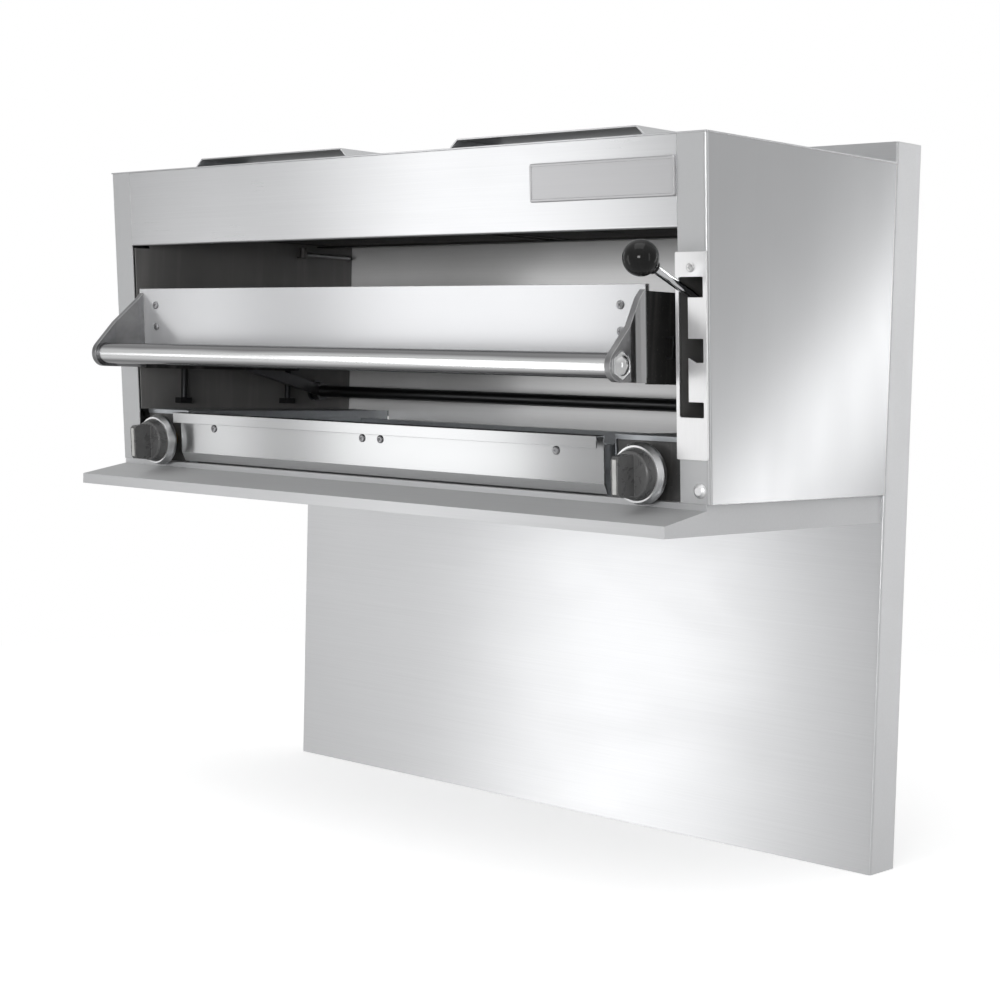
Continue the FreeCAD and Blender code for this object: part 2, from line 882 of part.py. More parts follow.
def bracket_side():
    """The bracket seen from the side: a tapering web that ends in a round nose."""
    centre = (-handle_out, handle_height)
    top = (-rack_front_out, bracket_top)
    bottom = (-rack_front_out, bracket_bottom)
    upper = touch_point(top, centre, boss_radius, 1)
    lower = touch_point(bottom, centre, boss_radius, -1)
    x0 = rack_half - bracket_thickness - 1
    nose = V(x0, centre[0] - boss_radius, centre[1])
    corners = [V(x0, *upper), V(x0, *top), V(x0, *bottom), V(x0, *lower)]
    edges = [Part.LineSegment(a, b).toShape() for a, b in zip(corners, corners[1:])]
    edges.append(Part.Arc(corners[3], nose, corners[0]).toShape())
    return Part.Face(Part.Wire(edges)).extrude(V(boss_outer + 1 - x0, 0, 0))


def bracket_plan():
    """The bracket seen from above: it leans outwards between its foot and the bar."""
    foot = rack_front_out + bracket_foot
    neck = foot + bracket_flare_length
    tip = handle_out + boss_radius + 1
    inner = rack_half - bracket_thickness
    line = [(inner, -rack_front_out), (inner, -foot), (boss_inner, -neck), (boss_inner, -tip),
            (boss_outer, -tip), (boss_outer, -neck), (rack_half, -foot), (rack_half, -rack_front_out)]
    return prism_z(line, bracket_bottom - boss_radius - 1, bracket_top + 1)


def dome_nut():
    """Domed hexagon nut on the outer end of the right bracket."""
    hexagon = []
    for step in range(6):
        turn = math.radians(60 * step + 30)
        across = nut_width / math.sqrt(3)
        hexagon.append((-handle_out + across * math.cos(turn), handle_height + across * math.sin(turn)))
    body = prism_x(hexagon, boss_outer, boss_outer + nut_height)
    ball = (dome_radius ** 2 + dome_height ** 2) / (2 * dome_height)
    middle = V(boss_outer + nut_height + dome_height - ball, -handle_out, handle_height)
    dome = Part.makeSphere(ball, middle)
    dome = dome.cut(box(middle.x - ball - 1, boss_outer + nut_height / 2, middle.y - ball - 1,
                        middle.y + ball + 1, middle.z - ball - 1, middle.z + ball + 1))
    return body.fuse(dome)


def handle_bracket():
    """Right-hand cast bracket with a socket for the bar, and its domed nut."""
    centre = (-handle_out, handle_height)
    socket = rod(handle_radius + socket_clearance, V(boss_inner - 1, *centre),
                 V(rack_half + handle_past_rack + socket_clearance, *centre))
    casting = bracket_side().common(bracket_plan()).cut(socket)
    return leaned(Part.makeCompound([casting, dome_nut()]))


def carriage_rail():
    """Right-hand lift rail: a channel open to the rack, guide bosses and a slotted hanger."""
    line = [(rack_half + 1.5, rail_bottom), (rail_outer, rail_bottom), (rail_outer, rail_top),
            (rack_half + 1.5, rail_top)]
    rail = fold_y(line, rail_sheet, rail_front, rail_rear)
    pin_hole = arm_pin_radius + slot_play
    forward = shaft_y - arm_length - slot_play
    rearward = arm_pin_y + slot_play
    middle = (forward + rearward) / 2
    hanger = box(rail_inner, rail_outer, middle - hanger_width / 2, middle + hanger_width / 2,
                 arm_pin_z - pin_hole - hanger_edge, rail_bottom + rail_sheet)
    pieces = [rail, hanger]
    for y in (guide_front, guide_back):
        pieces.append(box(rail_outer - 0.5, liner_inner - 0.3, y - guide_block / 2, y + guide_block / 2,
                          guide_boss_bottom, guide_boss_bottom + guide_boss_height))
    rail = fused(pieces)
    for y in (guide_front, guide_back):
        rail = rail.cut(rod(guide_rod_radius + guide_fit, V(guide_rod_x, y, guide_boss_bottom - 1),
                            V(guide_rod_x, y, guide_boss_bottom + guide_boss_height + 1)))
    across = V(rail_sheet + 2, 0, 0)
    for y in (forward, rearward):
        end = V(rail_inner - 1, y, arm_pin_z)
        rail = rail.cut(rod(pin_hole, end, end.add(across)))
    return rail.cut(box(rail_inner - 1, rail_outer + 1, forward, rearward,
                        arm_pin_z - pin_hole, arm_pin_z + pin_hole))


def carriage_tie():
    """Bar across the back that keeps the two rails level."""
    return box(-rail_inner, rail_inner, rail_rear - tie_depth, rail_rear,
               rail_bottom + rail_sheet + 1, rail_bottom + rail_sheet + 1 + tie_height)


def guide_rods():
    """Four upright rods that the carriage rises on."""
    rods = []
    for side in (-1, 1):
        for y in (guide_front, guide_back):
            rods.append(rod(guide_rod_radius, V(side * guide_rod_x, y, guide_bottom),
                            V(side * guide_rod_x, y, guide_top)))
    return Part.makeCompound(rods)


def guide_feet():
    """Blocks on the chamber walls that hold the rods at both ends."""
    feet = []
    for side in (-1, 1):
        near = guide_rod_x - guide_rod_radius - 0.5
        x0, x1 = sorted((side * near, side * liner_inner))
        for y in (guide_front, guide_back):
            for z in (guide_bottom - guide_foot_height, guide_top):
                feet.append(box(x0, x1, y - guide_block / 2, y + guide_block / 2,
                                z, z + guide_foot_height))
    return Part.makeCompound(feet)


def lift_shaft():
    """Cross shaft at the back of the chamber that joins both arms and the lever."""
    return rod(shaft_radius, V(-liner_outer - 8, shaft_y, shaft_z),
               V(opening_half + 2 + fork_hub_length, shaft_y, shaft_z))


def shaft_bush():
    """Right-hand flanged bush in the chamber wall."""
    start = liner_inner - bush_flange
    flange = rod(bush_flange_radius, V(start, shaft_y, shaft_z), V(liner_inner, shaft_y, shaft_z))
    sleeve = rod(bush_radius, V(liner_inner, shaft_y, shaft_z),
                 V(liner_outer + 1.5, shaft_y, shaft_z))
    bore = rod(shaft_radius + shaft_fit, V(start - 1, shaft_y, shaft_z),
               V(liner_outer + 5, shaft_y, shaft_z))
    return fused([flange, sleeve]).cut(bore)


def lift_arm():
    """Right-hand arm: a hub on the shaft and a pin that rides in the rail's hanger."""
    tilt = math.asin(arm_rise / arm_length)
    blade = box(arm_inner, arm_outer, shaft_y - arm_length, shaft_y,
                shaft_z - arm_width / 2, shaft_z + arm_width / 2)
    tip = rod(arm_width / 2, V(arm_inner, shaft_y - arm_length, shaft_z),
              V(arm_outer, shaft_y - arm_length, shaft_z))
    pin = rod(arm_pin_radius, V(rail_inner - 0.5, shaft_y - arm_length, shaft_z),
              V(arm_outer, shaft_y - arm_length, shaft_z))
    hub = rod(arm_hub_radius, V(arm_inner, shaft_y, shaft_z),
              V(arm_inner + arm_hub_length, shaft_y, shaft_z))
    arm = fused([blade, tip, hub, pin])
    arm.rotate(V(0, shaft_y, shaft_z), V(1, 0, 0), -math.degrees(tilt))
    bore = rod(shaft_radius + 0.01, V(arm_inner - 1, shaft_y, shaft_z),
               V(arm_inner + arm_hub_length + 1, shaft_y, shaft_z))
    return arm.cut(bore)


def along_lever(shape):
    """Turns a shape drawn level along -Y from the shaft to the lever's resting slope."""
    turned = shape.copy()
    turned.rotate(V(0, shaft_y, shaft_z), V(1, 0, 0), -lever_rest)
    return turned


def lever_fork():
    """Fork on the end of the shaft that the lever pivots sideways in."""
    start = opening_half + 2
    hub = rod(fork_hub_radius, V(start, shaft_y, shaft_z), V(start + fork_hub_length, shaft_y, shaft_z))
    cheeks = box(lever_x - fork_half_width, lever_x + fork_half_width,
                 shaft_y - fork_length, shaft_y, shaft_z - fork_half_height, shaft_z + fork_half_height)
    gap = lever_radius + fork_play
    slot = box(lever_x - 20, lever_x + 20, shaft_y - fork_length - 1, shaft_y - fork_slot_start,
               shaft_z - gap, shaft_z + gap)
    fork = fused([hub, cheeks]).cut(slot)
    pin_y = shaft_y - fork_pin_reach
    fork = fork.cut(rod(fork_pin_radius, V(lever_x, pin_y, shaft_z - 20), V(lever_x, pin_y, shaft_z + 20)))
    fork = fork.cut(rod(shaft_radius + 0.01, V(start - 10, shaft_y, shaft_z),
                        V(start + fork_hub_length + 1, shaft_y, shaft_z)))
    return along_lever(fork)


def fork_pin():
    pin_y = shaft_y - fork_pin_reach
    return along_lever(rod(fork_pin_radius - 0.01, V(lever_x, pin_y, shaft_z - fork_half_height),
                           V(lever_x, pin_y, shaft_z + fork_half_height)))


def lever_bar():
    """Straight round lever with a flat eye at its back end."""
    pin_y = shaft_y - fork_pin_reach
    tip_y = shaft_y - lever_length + ball_radius - ball_bore
    bar = rod(lever_radius, V(lever_x, pin_y - 2, shaft_z), V(lever_x, tip_y, shaft_z))
    eye = rod(lever_radius + 1.5, V(lever_x, pin_y, shaft_z - lever_radius),
              V(lever_x, pin_y, shaft_z + lever_radius))
    hole = rod(fork_pin_radius + shaft_fit, V(lever_x, pin_y, shaft_z - 20),
               V(lever_x, pin_y, shaft_z + 20))
    return along_lever(fused([bar, eye]).cut(hole))


def ball_knob():
    """Round hand knob on the lever, with a short neck."""
    centre = V(lever_x, shaft_y - lever_length, shaft_z)
    back = V(0, 1, 0)
    ball = Part.makeSphere(ball_radius, centre)
    neck = rod(ball_neck_radius, centre, centre.add(V(back).multiply(ball_radius + ball_neck)))
    bore = rod(lever_radius, centre.add(V(back).multiply(ball_radius - ball_bore)),
               centre.add(V(back).multiply(ball_radius + ball_neck + 1)))
    return along_lever(fused([ball, neck]).cut(bore))


def gate_cut(points, radius):
    """Opening with round corners through the gate plate."""
    hole = prism_y(points, -gate_thickness - 1, 1)
    return rounded(hole, radius, lambda edge: runs_along(edge, V(0, 1, 0)))


def gate_plate():
    """Bright plate on the right post: a slot for the lever and three notches that hold it."""
    left = opening_half - gate_left_edge
    right = half_width - gate_right_edge
    plate = box(left, right, -gate_thickness, 0, gate_bottom, gate_top)
    plate = rounded(plate, 1.5, lambda edge: runs_along(edge, V(0, 1, 0)))
    x0 = opening_half + gate_slot_left
    x1 = x0 + gate_slot_width
    end = x1 + notch_reach
    plate = plate.cut(gate_cut([(x0, gate_slot_bottom), (x1, gate_slot_bottom),
                                (x1, gate_slot_top), (x0, gate_slot_top)], 2.0))
    for low, high in notches:
        ramp = notch_ramp if low > gate_slot_bottom and high < gate_slot_top else 0
        floor = [(x1 - 3, low + ramp), (x1, low + ramp), (end - notch_reach / 2, low)]
        if not ramp:
            floor = [(x1 - 3, low)]
        plate = plate.cut(gate_cut(floor + [(end, low), (end, high), (x1 - 3, high)], 1.0))
    return leaned(plate.cut(screw_hole(gate_middle, gate_screw_height, -gate_thickness - 1, 1)))


def gate_screw():
    return leaned(screw(gate_middle, -gate_thickness, gate_screw_height))


def knob_skirt():
    """Right-hand bright ring around the knob's root, tapering towards its front edge."""
    back = -knob_gap
    step = back - skirt_straight
    front = back - skirt_thickness
    band = rod(skirt_radius, V(knob_x, back, knob_height), V(knob_x, step, knob_height))
    taper = Part.makeCone(skirt_radius, skirt_front_radius, step - front,
                          V(knob_x, step, knob_height), V(0, -1, 0))
    hole = rod(skirt_inner, V(knob_x, back + 1, knob_height), V(knob_x, front - 1, knob_height))
    return leaned(fused([band, taper]).cut(hole))


def knob_grip(face):
    """Tapering bar across the knob's face, rounded at both ends."""
    half = grip_length / 2
    front = -face - grip_height
    bar = prism_z([(knob_x - grip_root / 2, 1 - face), (knob_x - grip_width / 2, front),
                   (knob_x + grip_width / 2, front), (knob_x + grip_root / 2, 1 - face)],
                  knob_height - half, knob_height + half)
    bar = rounded(bar, grip_round, lambda edge: runs_along(edge, V(1, 0, 0))
                  and all(v.Y < front + 0.01 for v in edge.Vertexes))
    limit = rod(knob_face_radius - knob_face_bevel, V(knob_x, 0, knob_height),
                V(knob_x, front - 1, knob_height))
    return bar.common(limit)


def knob():
    """Right-hand black knob: a round body and a grip bar across its face."""
    back = -knob_gap
    step = back - skirt_thickness
    face = knob_gap + knob_base_height
    root = skirt_inner - knob_skirt_fit
    base = rod(root, V(knob_x, back, knob_height), V(knob_x, step, knob_height))
    cone = Part.makeCone(root, knob_face_radius, face + step, V(knob_x, step, knob_height), V(0, -1, 0))
    body = bevelled(fused([base, cone]), knob_face_bevel,
                    lambda edge: all(abs(v.Y + face) < 0.01 for v in edge.Vertexes))
    bore = rod(stem_radius + 0.02, V(knob_x, 5, knob_height), V(knob_x, -stem_out, knob_height))
    return leaned(fused([body, knob_grip(face)]).cut(bore))


def valve_stem():
    """Right-hand stem that the knob turns."""
    return leaned(rod(stem_radius, V(knob_x, stem_back, knob_height),
                      V(knob_x, -stem_out + 0.5, knob_height)))


def manifold_points():
    """The gas pipe's route: across the back, forward on both sides, then in behind the valves."""
    valve_line = on_front(0, -manifold_setback, knob_height)
    y, z = valve_line.y, valve_line.z
    inner = manifold_x - manifold_stub
    return [V(-inner, y, z), V(-manifold_x, y, z), V(-manifold_x, manifold_rear, z),
            V(manifold_x, manifold_rear, z), V(manifold_x, y, z), V(inner, y, z)]


def gas_manifold():
    """Main gas pipe with closed ends and a threaded inlet at the back."""
    points = manifold_points()
    pipe = piped(points, manifold_radius)
    x = opening_half - inlet_inset
    z = points[0].z
    end = rear_face - 0.5
    inlet = rod(inlet_radius, V(x, end - inlet_length - 6, z), V(x, end, z))
    pipe = fused([pipe, inlet])
    return pipe.cut(rod(inlet_bore, V(x, end - inlet_length, z), V(x, end + 1, z)))


def gas_valve():
    """Right-hand brass valve between the manifold and the burner tube."""
    setback = valve_plate_setback + sheet
    body = rod(valve_radius, V(knob_x, setback + 0.2, knob_height), V(knob_x, valve_back, knob_height))
    body = bevelled(body, 2.0, lambda edge: edge.Length > 2 * math.pi * (valve_radius - 1))
    bonnet = rod(bonnet_radius, V(knob_x, 1, knob_height), V(knob_x, setback + 1, knob_height))
    tail = rod(valve_tail_radius, V(knob_x, valve_back - 1, knob_height),
               V(knob_x, manifold_setback, knob_height))
    outlet = rod(valve_outlet_radius, V(knob_x, valve_outlet_back, knob_height),
                 V(knob_x + valve_outlet_length, valve_outlet_back, knob_height))
    bore = rod(stem_radius + stem_fit, V(knob_x, 0, knob_height), V(knob_x, stem_back + 1, knob_height))
    valve = leaned(fused([body, bonnet, tail, outlet]).cut(bore))
    pipe_start, pipe_end = manifold_points()[5], manifold_points()[4]
    return valve.cut(rod(manifold_radius, pipe_start, pipe_end))


def burner_tube():
    """Right-hand tube from the valve, along the bay and up the riser to the burner's orifice."""
    outlet = on_front(knob_x + valve_outlet_length, -valve_outlet_back, knob_height)
    y = outlet.y
    end_x = opening_half - burner_side_gap + 2
    points = [outlet, V(tube_x, y, outlet.z), V(tube_x, y, tube_height), V(tube_x, tube_rear, tube_height),
              V(tube_cavity_x, tube_rear, tube_height), V(tube_cavity_x, tube_rear, venturi_height),
              V(end_x, tube_rear, venturi_height)]
    return piped(eased_corners(points, tube_bend), tube_radius)


def orifice():
    """Right-hand brass jet at the end of the burner tube."""
    start = opening_half - burner_side_gap + 2
    hexagon = []
    for step in range(6):
        turn = math.radians(60 * step)
        hexagon.append((tube_rear + orifice_radius * math.cos(turn),
                        venturi_height + orifice_radius * math.sin(turn)))
    body = prism_x(hexagon, start - orifice_length / 2, start)
    tip = Part.makeCone(orifice_radius * 0.8, orifice_radius * 0.5, orifice_length / 2,
                        V(start - orifice_length / 2, tube_rear, venturi_height), V(-1, 0, 0))
    return fused([body, tip])


def pilot_valve():
    """Right-hand pilot valve on the inner side of the manifold."""
    z = manifold_points()[0].z
    end = manifold_x - manifold_radius
    body = rod(pilot_valve_radius, V(end - pilot_valve_length, pilot_valve_y, z),
               V(manifold_x, pilot_valve_y, z))
    riser = rod(pilot_valve_radius * 0.7, V(end - pilot_valve_length / 2, pilot_valve_y, z),
                V(end - pilot_valve_length / 2, pilot_valve_y, z + pilot_valve_radius + 4))
    start = V(manifold_x, pilot_valve_y - 20, z)
    return fused([body, riser]).cut(rod(manifold_radius, start, V(manifold_x, pilot_valve_y + 20, z)))


def pilot_tube():
    """Right-hand thin tube from the pilot valve, up the riser and forward to the pilot."""
    z = manifold_points()[0].z
    start_x = manifold_x - manifold_radius - pilot_valve_length / 2
    start_z = z + pilot_valve_radius + 4
    points = [V(start_x, pilot_valve_y, start_z), V(start_x, pilot_valve_y, tube_height),
              V(start_x, pilot_rear, tube_height), V(pilot_cavity_x, pilot_rear, tube_height),
              V(pilot_cavity_x, pilot_rear, pilot_height), V(pilot_x, pilot_rear, pilot_height),
              V(pilot_x, pilot_reach, pilot_height)]
    return piped(eased_corners(points, pilot_bend), pilot_tube_radius)


def pilot_head():
    """Right-hand pilot burner under the edge of the burner face."""
    y = pilot_reach - pilot_head_radius
    body = rod(pilot_head_radius, V(pilot_x, y, pilot_height - 5),
               V(pilot_x, y, pilot_height - 5 + pilot_head_height))
    slot = box(pilot_x - 20, pilot_x + 20, y - 1, y + 1,
               pilot_height - 8 + pilot_head_height, pilot_height + pilot_head_height)
    bracket = box(pilot_x, liner_inner, y - 4, y + 4, pilot_height - 5, pilot_height - 3)
    return fused([body, bracket]).cut(slot)


def burner_body():
    """Right-hand burner box: open below, with a rim that rests on the rails."""
    left = burner_middle_gap
    right = opening_half - burner_side_gap
    low = burner_bottom
    high = low + burner_height
    outer = box(left, right, burner_front, burner_back, low, high)
    outer = rounded(outer, 6.0, lambda edge: runs_along(edge, V(0, 0, 1)))
    outer = bevelled(outer, 5.0, lambda edge: all(abs(v.Z - high) < 0.01 for v in edge.Vertexes))
    hollow = box(left + burner_wall + burner_rim, right - burner_wall - burner_rim,
                 burner_front + burner_wall + burner_rim, burner_back - burner_wall - burner_rim,
                 low - 1, high - burner_wall)
    throat = rod(venturi_radius, V(venturi_entry, burner_back - 20, venturi_height),
                 V(venturi_entry, burner_back + 1, venturi_height))
    return outer.cut(hollow).cut(throat)


def burner_tiles():
    """Right-hand set of ceramic tiles in the open underside of the burner."""
    inset = burner_wall + burner_rim
    left = burner_middle_gap + inset
    right = opening_half - burner_side_gap - inset
    front = burner_front + inset
    back = burner_back - inset
    wide = (right - left - (tile_columns + 1) * tile_gap / 2) / tile_columns
    deep = (back - front - (tile_rows + 1) * tile_gap / 2) / tile_rows
    tiles = []
    for column in range(tile_columns):
        for row in range(tile_rows):
            x = left + tile_gap / 2 + column * (wide + tile_gap / 2)
            y = front + tile_gap / 2 + row * (deep + tile_gap / 2)
            tiles.append(box(x, x + wide, y, y + deep, burner_bottom + 1,
                             burner_bottom + 1 + tile_thickness))
    backing = box(left, right, front, back, burner_bottom + 1 + tile_thickness,
                  burner_bottom + 3 + tile_thickness)
    return fused([backing] + tiles)


def burner_rail_front():
    """Angle behind the header that carries the front rim of both burners."""
    y = burner_front - rail_gap
    line = [(y, burner_bottom + rail_leg), (y, burner_bottom - sheet), (y + rail_flange, burner_bottom - sheet)]
    return fold_x(line, sheet, -liner_inner, liner_inner)


def burner_rail_rear():
    """Angle that carries the rear rim of both burners."""
    y = burner_back + rail_gap
    line = [(y - rail_flange, burner_bottom - sheet), (y, burner_bottom - sheet), (y, burner_bottom + rail_leg)]
    return fold_x(line, sheet, -liner_inner, liner_inner)


def venturi():
    """Right-hand mixing tube: a flared mouth at the jet, then a bend into the burner."""
    mouth = opening_half - burner_side_gap - orifice_length - orifice_gap
    flare = 30.0
    points = [V(mouth - flare, tube_rear, venturi_height), V(venturi_entry, tube_rear, venturi_height),
              V(venturi_entry, burner_back, venturi_height)]
    bend = tube_rear - burner_back - venturi_radius / 2
    route = eased_corners(points, bend)
    outside = piped(route, venturi_radius)
    inside = piped(route, venturi_radius - venturi_wall)
    start = V(mouth - flare, tube_rear, venturi_height)
    horn = Part.makeCone(venturi_radius, venturi_mouth, flare, start, V(1, 0, 0))
    inner_horn = Part.makeCone(venturi_radius - venturi_wall, venturi_mouth - venturi_wall, flare,
                               start, V(1, 0, 0))
    return outside.fuse(horn).cut(inside).cut(inner_horn)


def both(name, shape):
    return {name + "_right": shape, name + "_left": mirrored(shape)}


def build():
    parts = {
        "side_panel_right": right_side_panel(),
        "side_panel_left": mirrored(side_panel()),
        "top_panel": top_panel(),
        "flue_hats": flue_hats(),
        "header_panel": header_panel(),
        "name_plate": name_plate(),
        "riser_panel": riser_panel(),
        "riser_cap": riser_cap(),
        "rear_cover": rear_cover(),
        "spill_tray": spill_tray(),
        "post_stud": post_stud(),
        "chamber_back": liner_back(),
        "drawer_front": on_drawer(drawer_front()),
        "grease_pan": on_drawer(grease_pan()),
        "drawer_screws": on_drawer(drawer_screws()),
        "rack_front": rack_front(),
        "rack_rear": rack_rear(),
        "rack_screws": rack_screws(),
        "handle_bar": handle_bar(),
        "carriage_tie": carriage_tie(),
        "guide_rods": guide_rods(),
        "guide_feet": guide_feet(),
        "lift_shaft": lift_shaft(),
        "lever_fork": lever_fork(),
        "fork_pin": fork_pin(),
        "lever_bar": lever_bar(),
        "ball_knob": ball_knob(),
        "gate_plate": gate_plate(),
        "gate_screw": gate_screw(),
        "gas_manifold": gas_manifold(),
        "burner_rails": Part.makeCompound([burner_rail_front(), burner_rail_rear()]),
        "bay_covers": Part.makeCompound([bay_cover(bay_right), mirrored(bay_cover(bay_left))]),
        "valve_plates": Part.makeCompound([valve_plate(bay_right), mirrored(valve_plate(bay_left))]),
    }
    parts.update(both("chamber_side", liner_side()))
    parts.update(both("rack_side", rack_plate_right()))
    parts.update(both("grid", grid()))
    parts.update(both("knob", knob()))
    parts.update(both("knob_skirt", knob_skirt()))
    parts.update(both("valve_stem", valve_stem()))
    return parts


def paired_groups():
    """Small matching pieces on both sides that share one node each."""
    groups = {
        "riser_posts": riser_post(),
        "rack_runners": rack_runner(),
        "handle_brackets": handle_bracket(),
        "carriage_rails": carriage_rail(),
        "shaft_bushes": shaft_bush(),
        "lift_arms": lift_arm(),
        "gas_valves": gas_valve(),
        "burner_tubes": burner_tube(),
        "orifices": orifice(),
        "pilot_valves": pilot_valve(),
        "pilot_tubes": pilot_tube(),
        "pilot_heads": pilot_head(),
        "burner_bodies": burner_body(),
        "burner_tiles": burner_tiles(),
        "venturis": venturi(),
    }
    return {name: Part.makeCompound([shape, mirrored(shape)]) for name, shape in groups.items()}


def save_all():
    os.makedirs("parts", exist_ok=True)
    to_bolts = V(0, -rear_face, -range_hole_z)
    parts = build()
    parts.update(paired_groups())
    for name, shape in parts.items():
        placed = shape.copy()
        placed.translate(to_bolts)
        placed.exportStep("parts/" + name + ".step")
        print(name, len(placed.Solids), round(placed.Volume), placed.isValid())


save_all()
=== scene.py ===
import json
import math
import random

import bmesh
import bpy
from mathutils import Matrix, Vector

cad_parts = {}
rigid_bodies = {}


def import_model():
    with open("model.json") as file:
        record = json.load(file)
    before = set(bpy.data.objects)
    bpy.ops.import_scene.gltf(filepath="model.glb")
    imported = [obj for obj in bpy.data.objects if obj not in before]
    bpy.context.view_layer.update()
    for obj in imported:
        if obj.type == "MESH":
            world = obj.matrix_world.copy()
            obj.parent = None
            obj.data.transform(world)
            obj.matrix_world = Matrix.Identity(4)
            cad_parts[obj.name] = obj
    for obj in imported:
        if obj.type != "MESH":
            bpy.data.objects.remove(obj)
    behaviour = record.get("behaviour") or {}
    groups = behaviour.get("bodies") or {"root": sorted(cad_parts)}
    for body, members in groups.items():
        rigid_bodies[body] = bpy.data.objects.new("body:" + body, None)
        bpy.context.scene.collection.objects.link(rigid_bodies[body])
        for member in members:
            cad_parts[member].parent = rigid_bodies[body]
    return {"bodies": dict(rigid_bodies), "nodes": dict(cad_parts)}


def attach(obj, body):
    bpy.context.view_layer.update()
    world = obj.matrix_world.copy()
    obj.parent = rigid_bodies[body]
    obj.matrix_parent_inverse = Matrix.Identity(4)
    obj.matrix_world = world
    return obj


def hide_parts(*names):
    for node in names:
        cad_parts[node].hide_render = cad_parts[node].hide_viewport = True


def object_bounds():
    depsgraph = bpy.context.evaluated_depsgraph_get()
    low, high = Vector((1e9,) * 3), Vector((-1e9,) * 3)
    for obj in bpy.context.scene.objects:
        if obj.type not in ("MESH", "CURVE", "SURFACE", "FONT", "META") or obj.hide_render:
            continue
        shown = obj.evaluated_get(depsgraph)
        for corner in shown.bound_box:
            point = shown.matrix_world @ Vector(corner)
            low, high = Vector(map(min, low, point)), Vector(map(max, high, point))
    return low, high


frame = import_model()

NODES = frame["nodes"]
KEPT = set(NODES.values()) | set(frame["bodies"].values())
for leftover in [o for o in bpy.data.objects if o not in KEPT]:
    bpy.data.objects.remove(leftover)
CAD_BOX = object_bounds()

# Lengths are metres, and millimetres where a comment or a docstring says so.
MM = 0.001

# The front leans: its top stands further forward than its foot, over the cabinet's height (mm).
FRONT_FOOT = Vector((0.0, -0.361, 0.316))
TOP_FORWARD = 25.0
FRONT_HEIGHT = 356.0
LEAN = math.atan2(TOP_FORWARD, FRONT_HEIGHT)
OUT = Vector((0.0, -math.cos(LEAN), -math.sin(LEAN)))
UP = Vector((0.0, -math.sin(LEAN), math.cos(LEAN)))
RIGHT = Vector((1.0, 0.0, 0.0))


def on_front(x, out, up):
    """A point given in millimetres on the leaning front: across, outwards and up."""
    return FRONT_FOOT + (RIGHT * x + OUT * out + UP * up) * MM


# Materials

# Inputs of the Mix node for its share and its two colours, and its output for the colour
MIX_SHARE = 0
MIX_FIRST = 6
MIX_SECOND = 7
MIX_RESULT = 2

# Most values of a noise lie between these
NOISE_LOW = 0.3
NOISE_HIGH = 0.7

# Cosine between a face and a way to look: from where a face begins to count, and where it counts whole
FACING_BEGINS = 0.6
FACING_WHOLE = 0.95

# Cosine between a face and its rounded normal: on a worn edge, and on a flat
EDGE_TURN = 0.72
FLAT_TURN = 0.97

BEVEL_SAMPLES = 6

# Way of the grain along each axis, a little aslant so that it never lines up with a face's normal
GRAIN = {"x": (1.0, 0.03, 0.02), "y": (0.03, 1.0, 0.02), "z": (0.02, 0.03, 1.0)}


def rgb(*values):
    return (*values, 1.0) if len(values) == 3 else (values[0],) * 3 + (1.0,)


def darker(tone, share):
    return rgb(*[channel * share for channel in tone[:3]])


class ShaderTree:
    """Adds shader nodes to one tree and joins them."""

    def __init__(self, tree):
        self.tree = tree
        tree.nodes.clear()

    def add(self, kind, **settings):
        node = self.tree.nodes.new(kind)
        for key, value in settings.items():
            setattr(node, key, value)
        return node

    def feed(self, socket, value):
        if isinstance(value, bpy.types.NodeSocket):
            self.tree.links.new(value, socket)
        else:
            socket.default_value = value

    def remap(self, value, low, high, to_low=0.0, to_high=1.0):
        node = self.add("ShaderNodeMapRange")
        self.feed(node.inputs["Value"], value)
        for key, number in (("From Min", low), ("From Max", high),
                            ("To Min", to_low), ("To Max", to_high)):
            node.inputs[key].default_value = number
        return node.outputs["Result"]

    def vary(self, noise, low=0.0, high=1.0):
        """Spreads most of a noise from low to high."""
        return self.remap(noise, NOISE_LOW, NOISE_HIGH, low, high)

    def calc(self, operation, first, second=0.0):
        node = self.add("ShaderNodeMath", operation=operation)
        self.feed(node.inputs[0], first)
        self.feed(node.inputs[1], second)
        return node.outputs["Value"]

    def blend(self, share, first, second):
        node = self.add("ShaderNodeMix", data_type="RGBA")
        self.feed(node.inputs[MIX_SHARE], share)
        self.feed(node.inputs[MIX_FIRST], first)
        self.feed(node.inputs[MIX_SECOND], second)
        return node.outputs[MIX_RESULT]

    def dot(self, first, second):
        node = self.add("ShaderNodeVectorMath", operation="DOT_PRODUCT")
        self.feed(node.inputs[0], first)
        self.feed(node.inputs[1], second)
        return node.outputs["Value"]

    def scaled(self, vector, share):
        node = self.add("ShaderNodeVectorMath", operation="SCALE")
        self.feed(node.inputs[0], vector)
        self.feed(node.inputs["Scale"], share)
        return node.outputs["Vector"]

    def axis(self, vector, letter):
        """Part of a vector along X, Y or Z."""
        node = self.add("ShaderNodeSeparateXYZ")
        self.feed(node.inputs[0], vector)
        return node.outputs[letter]


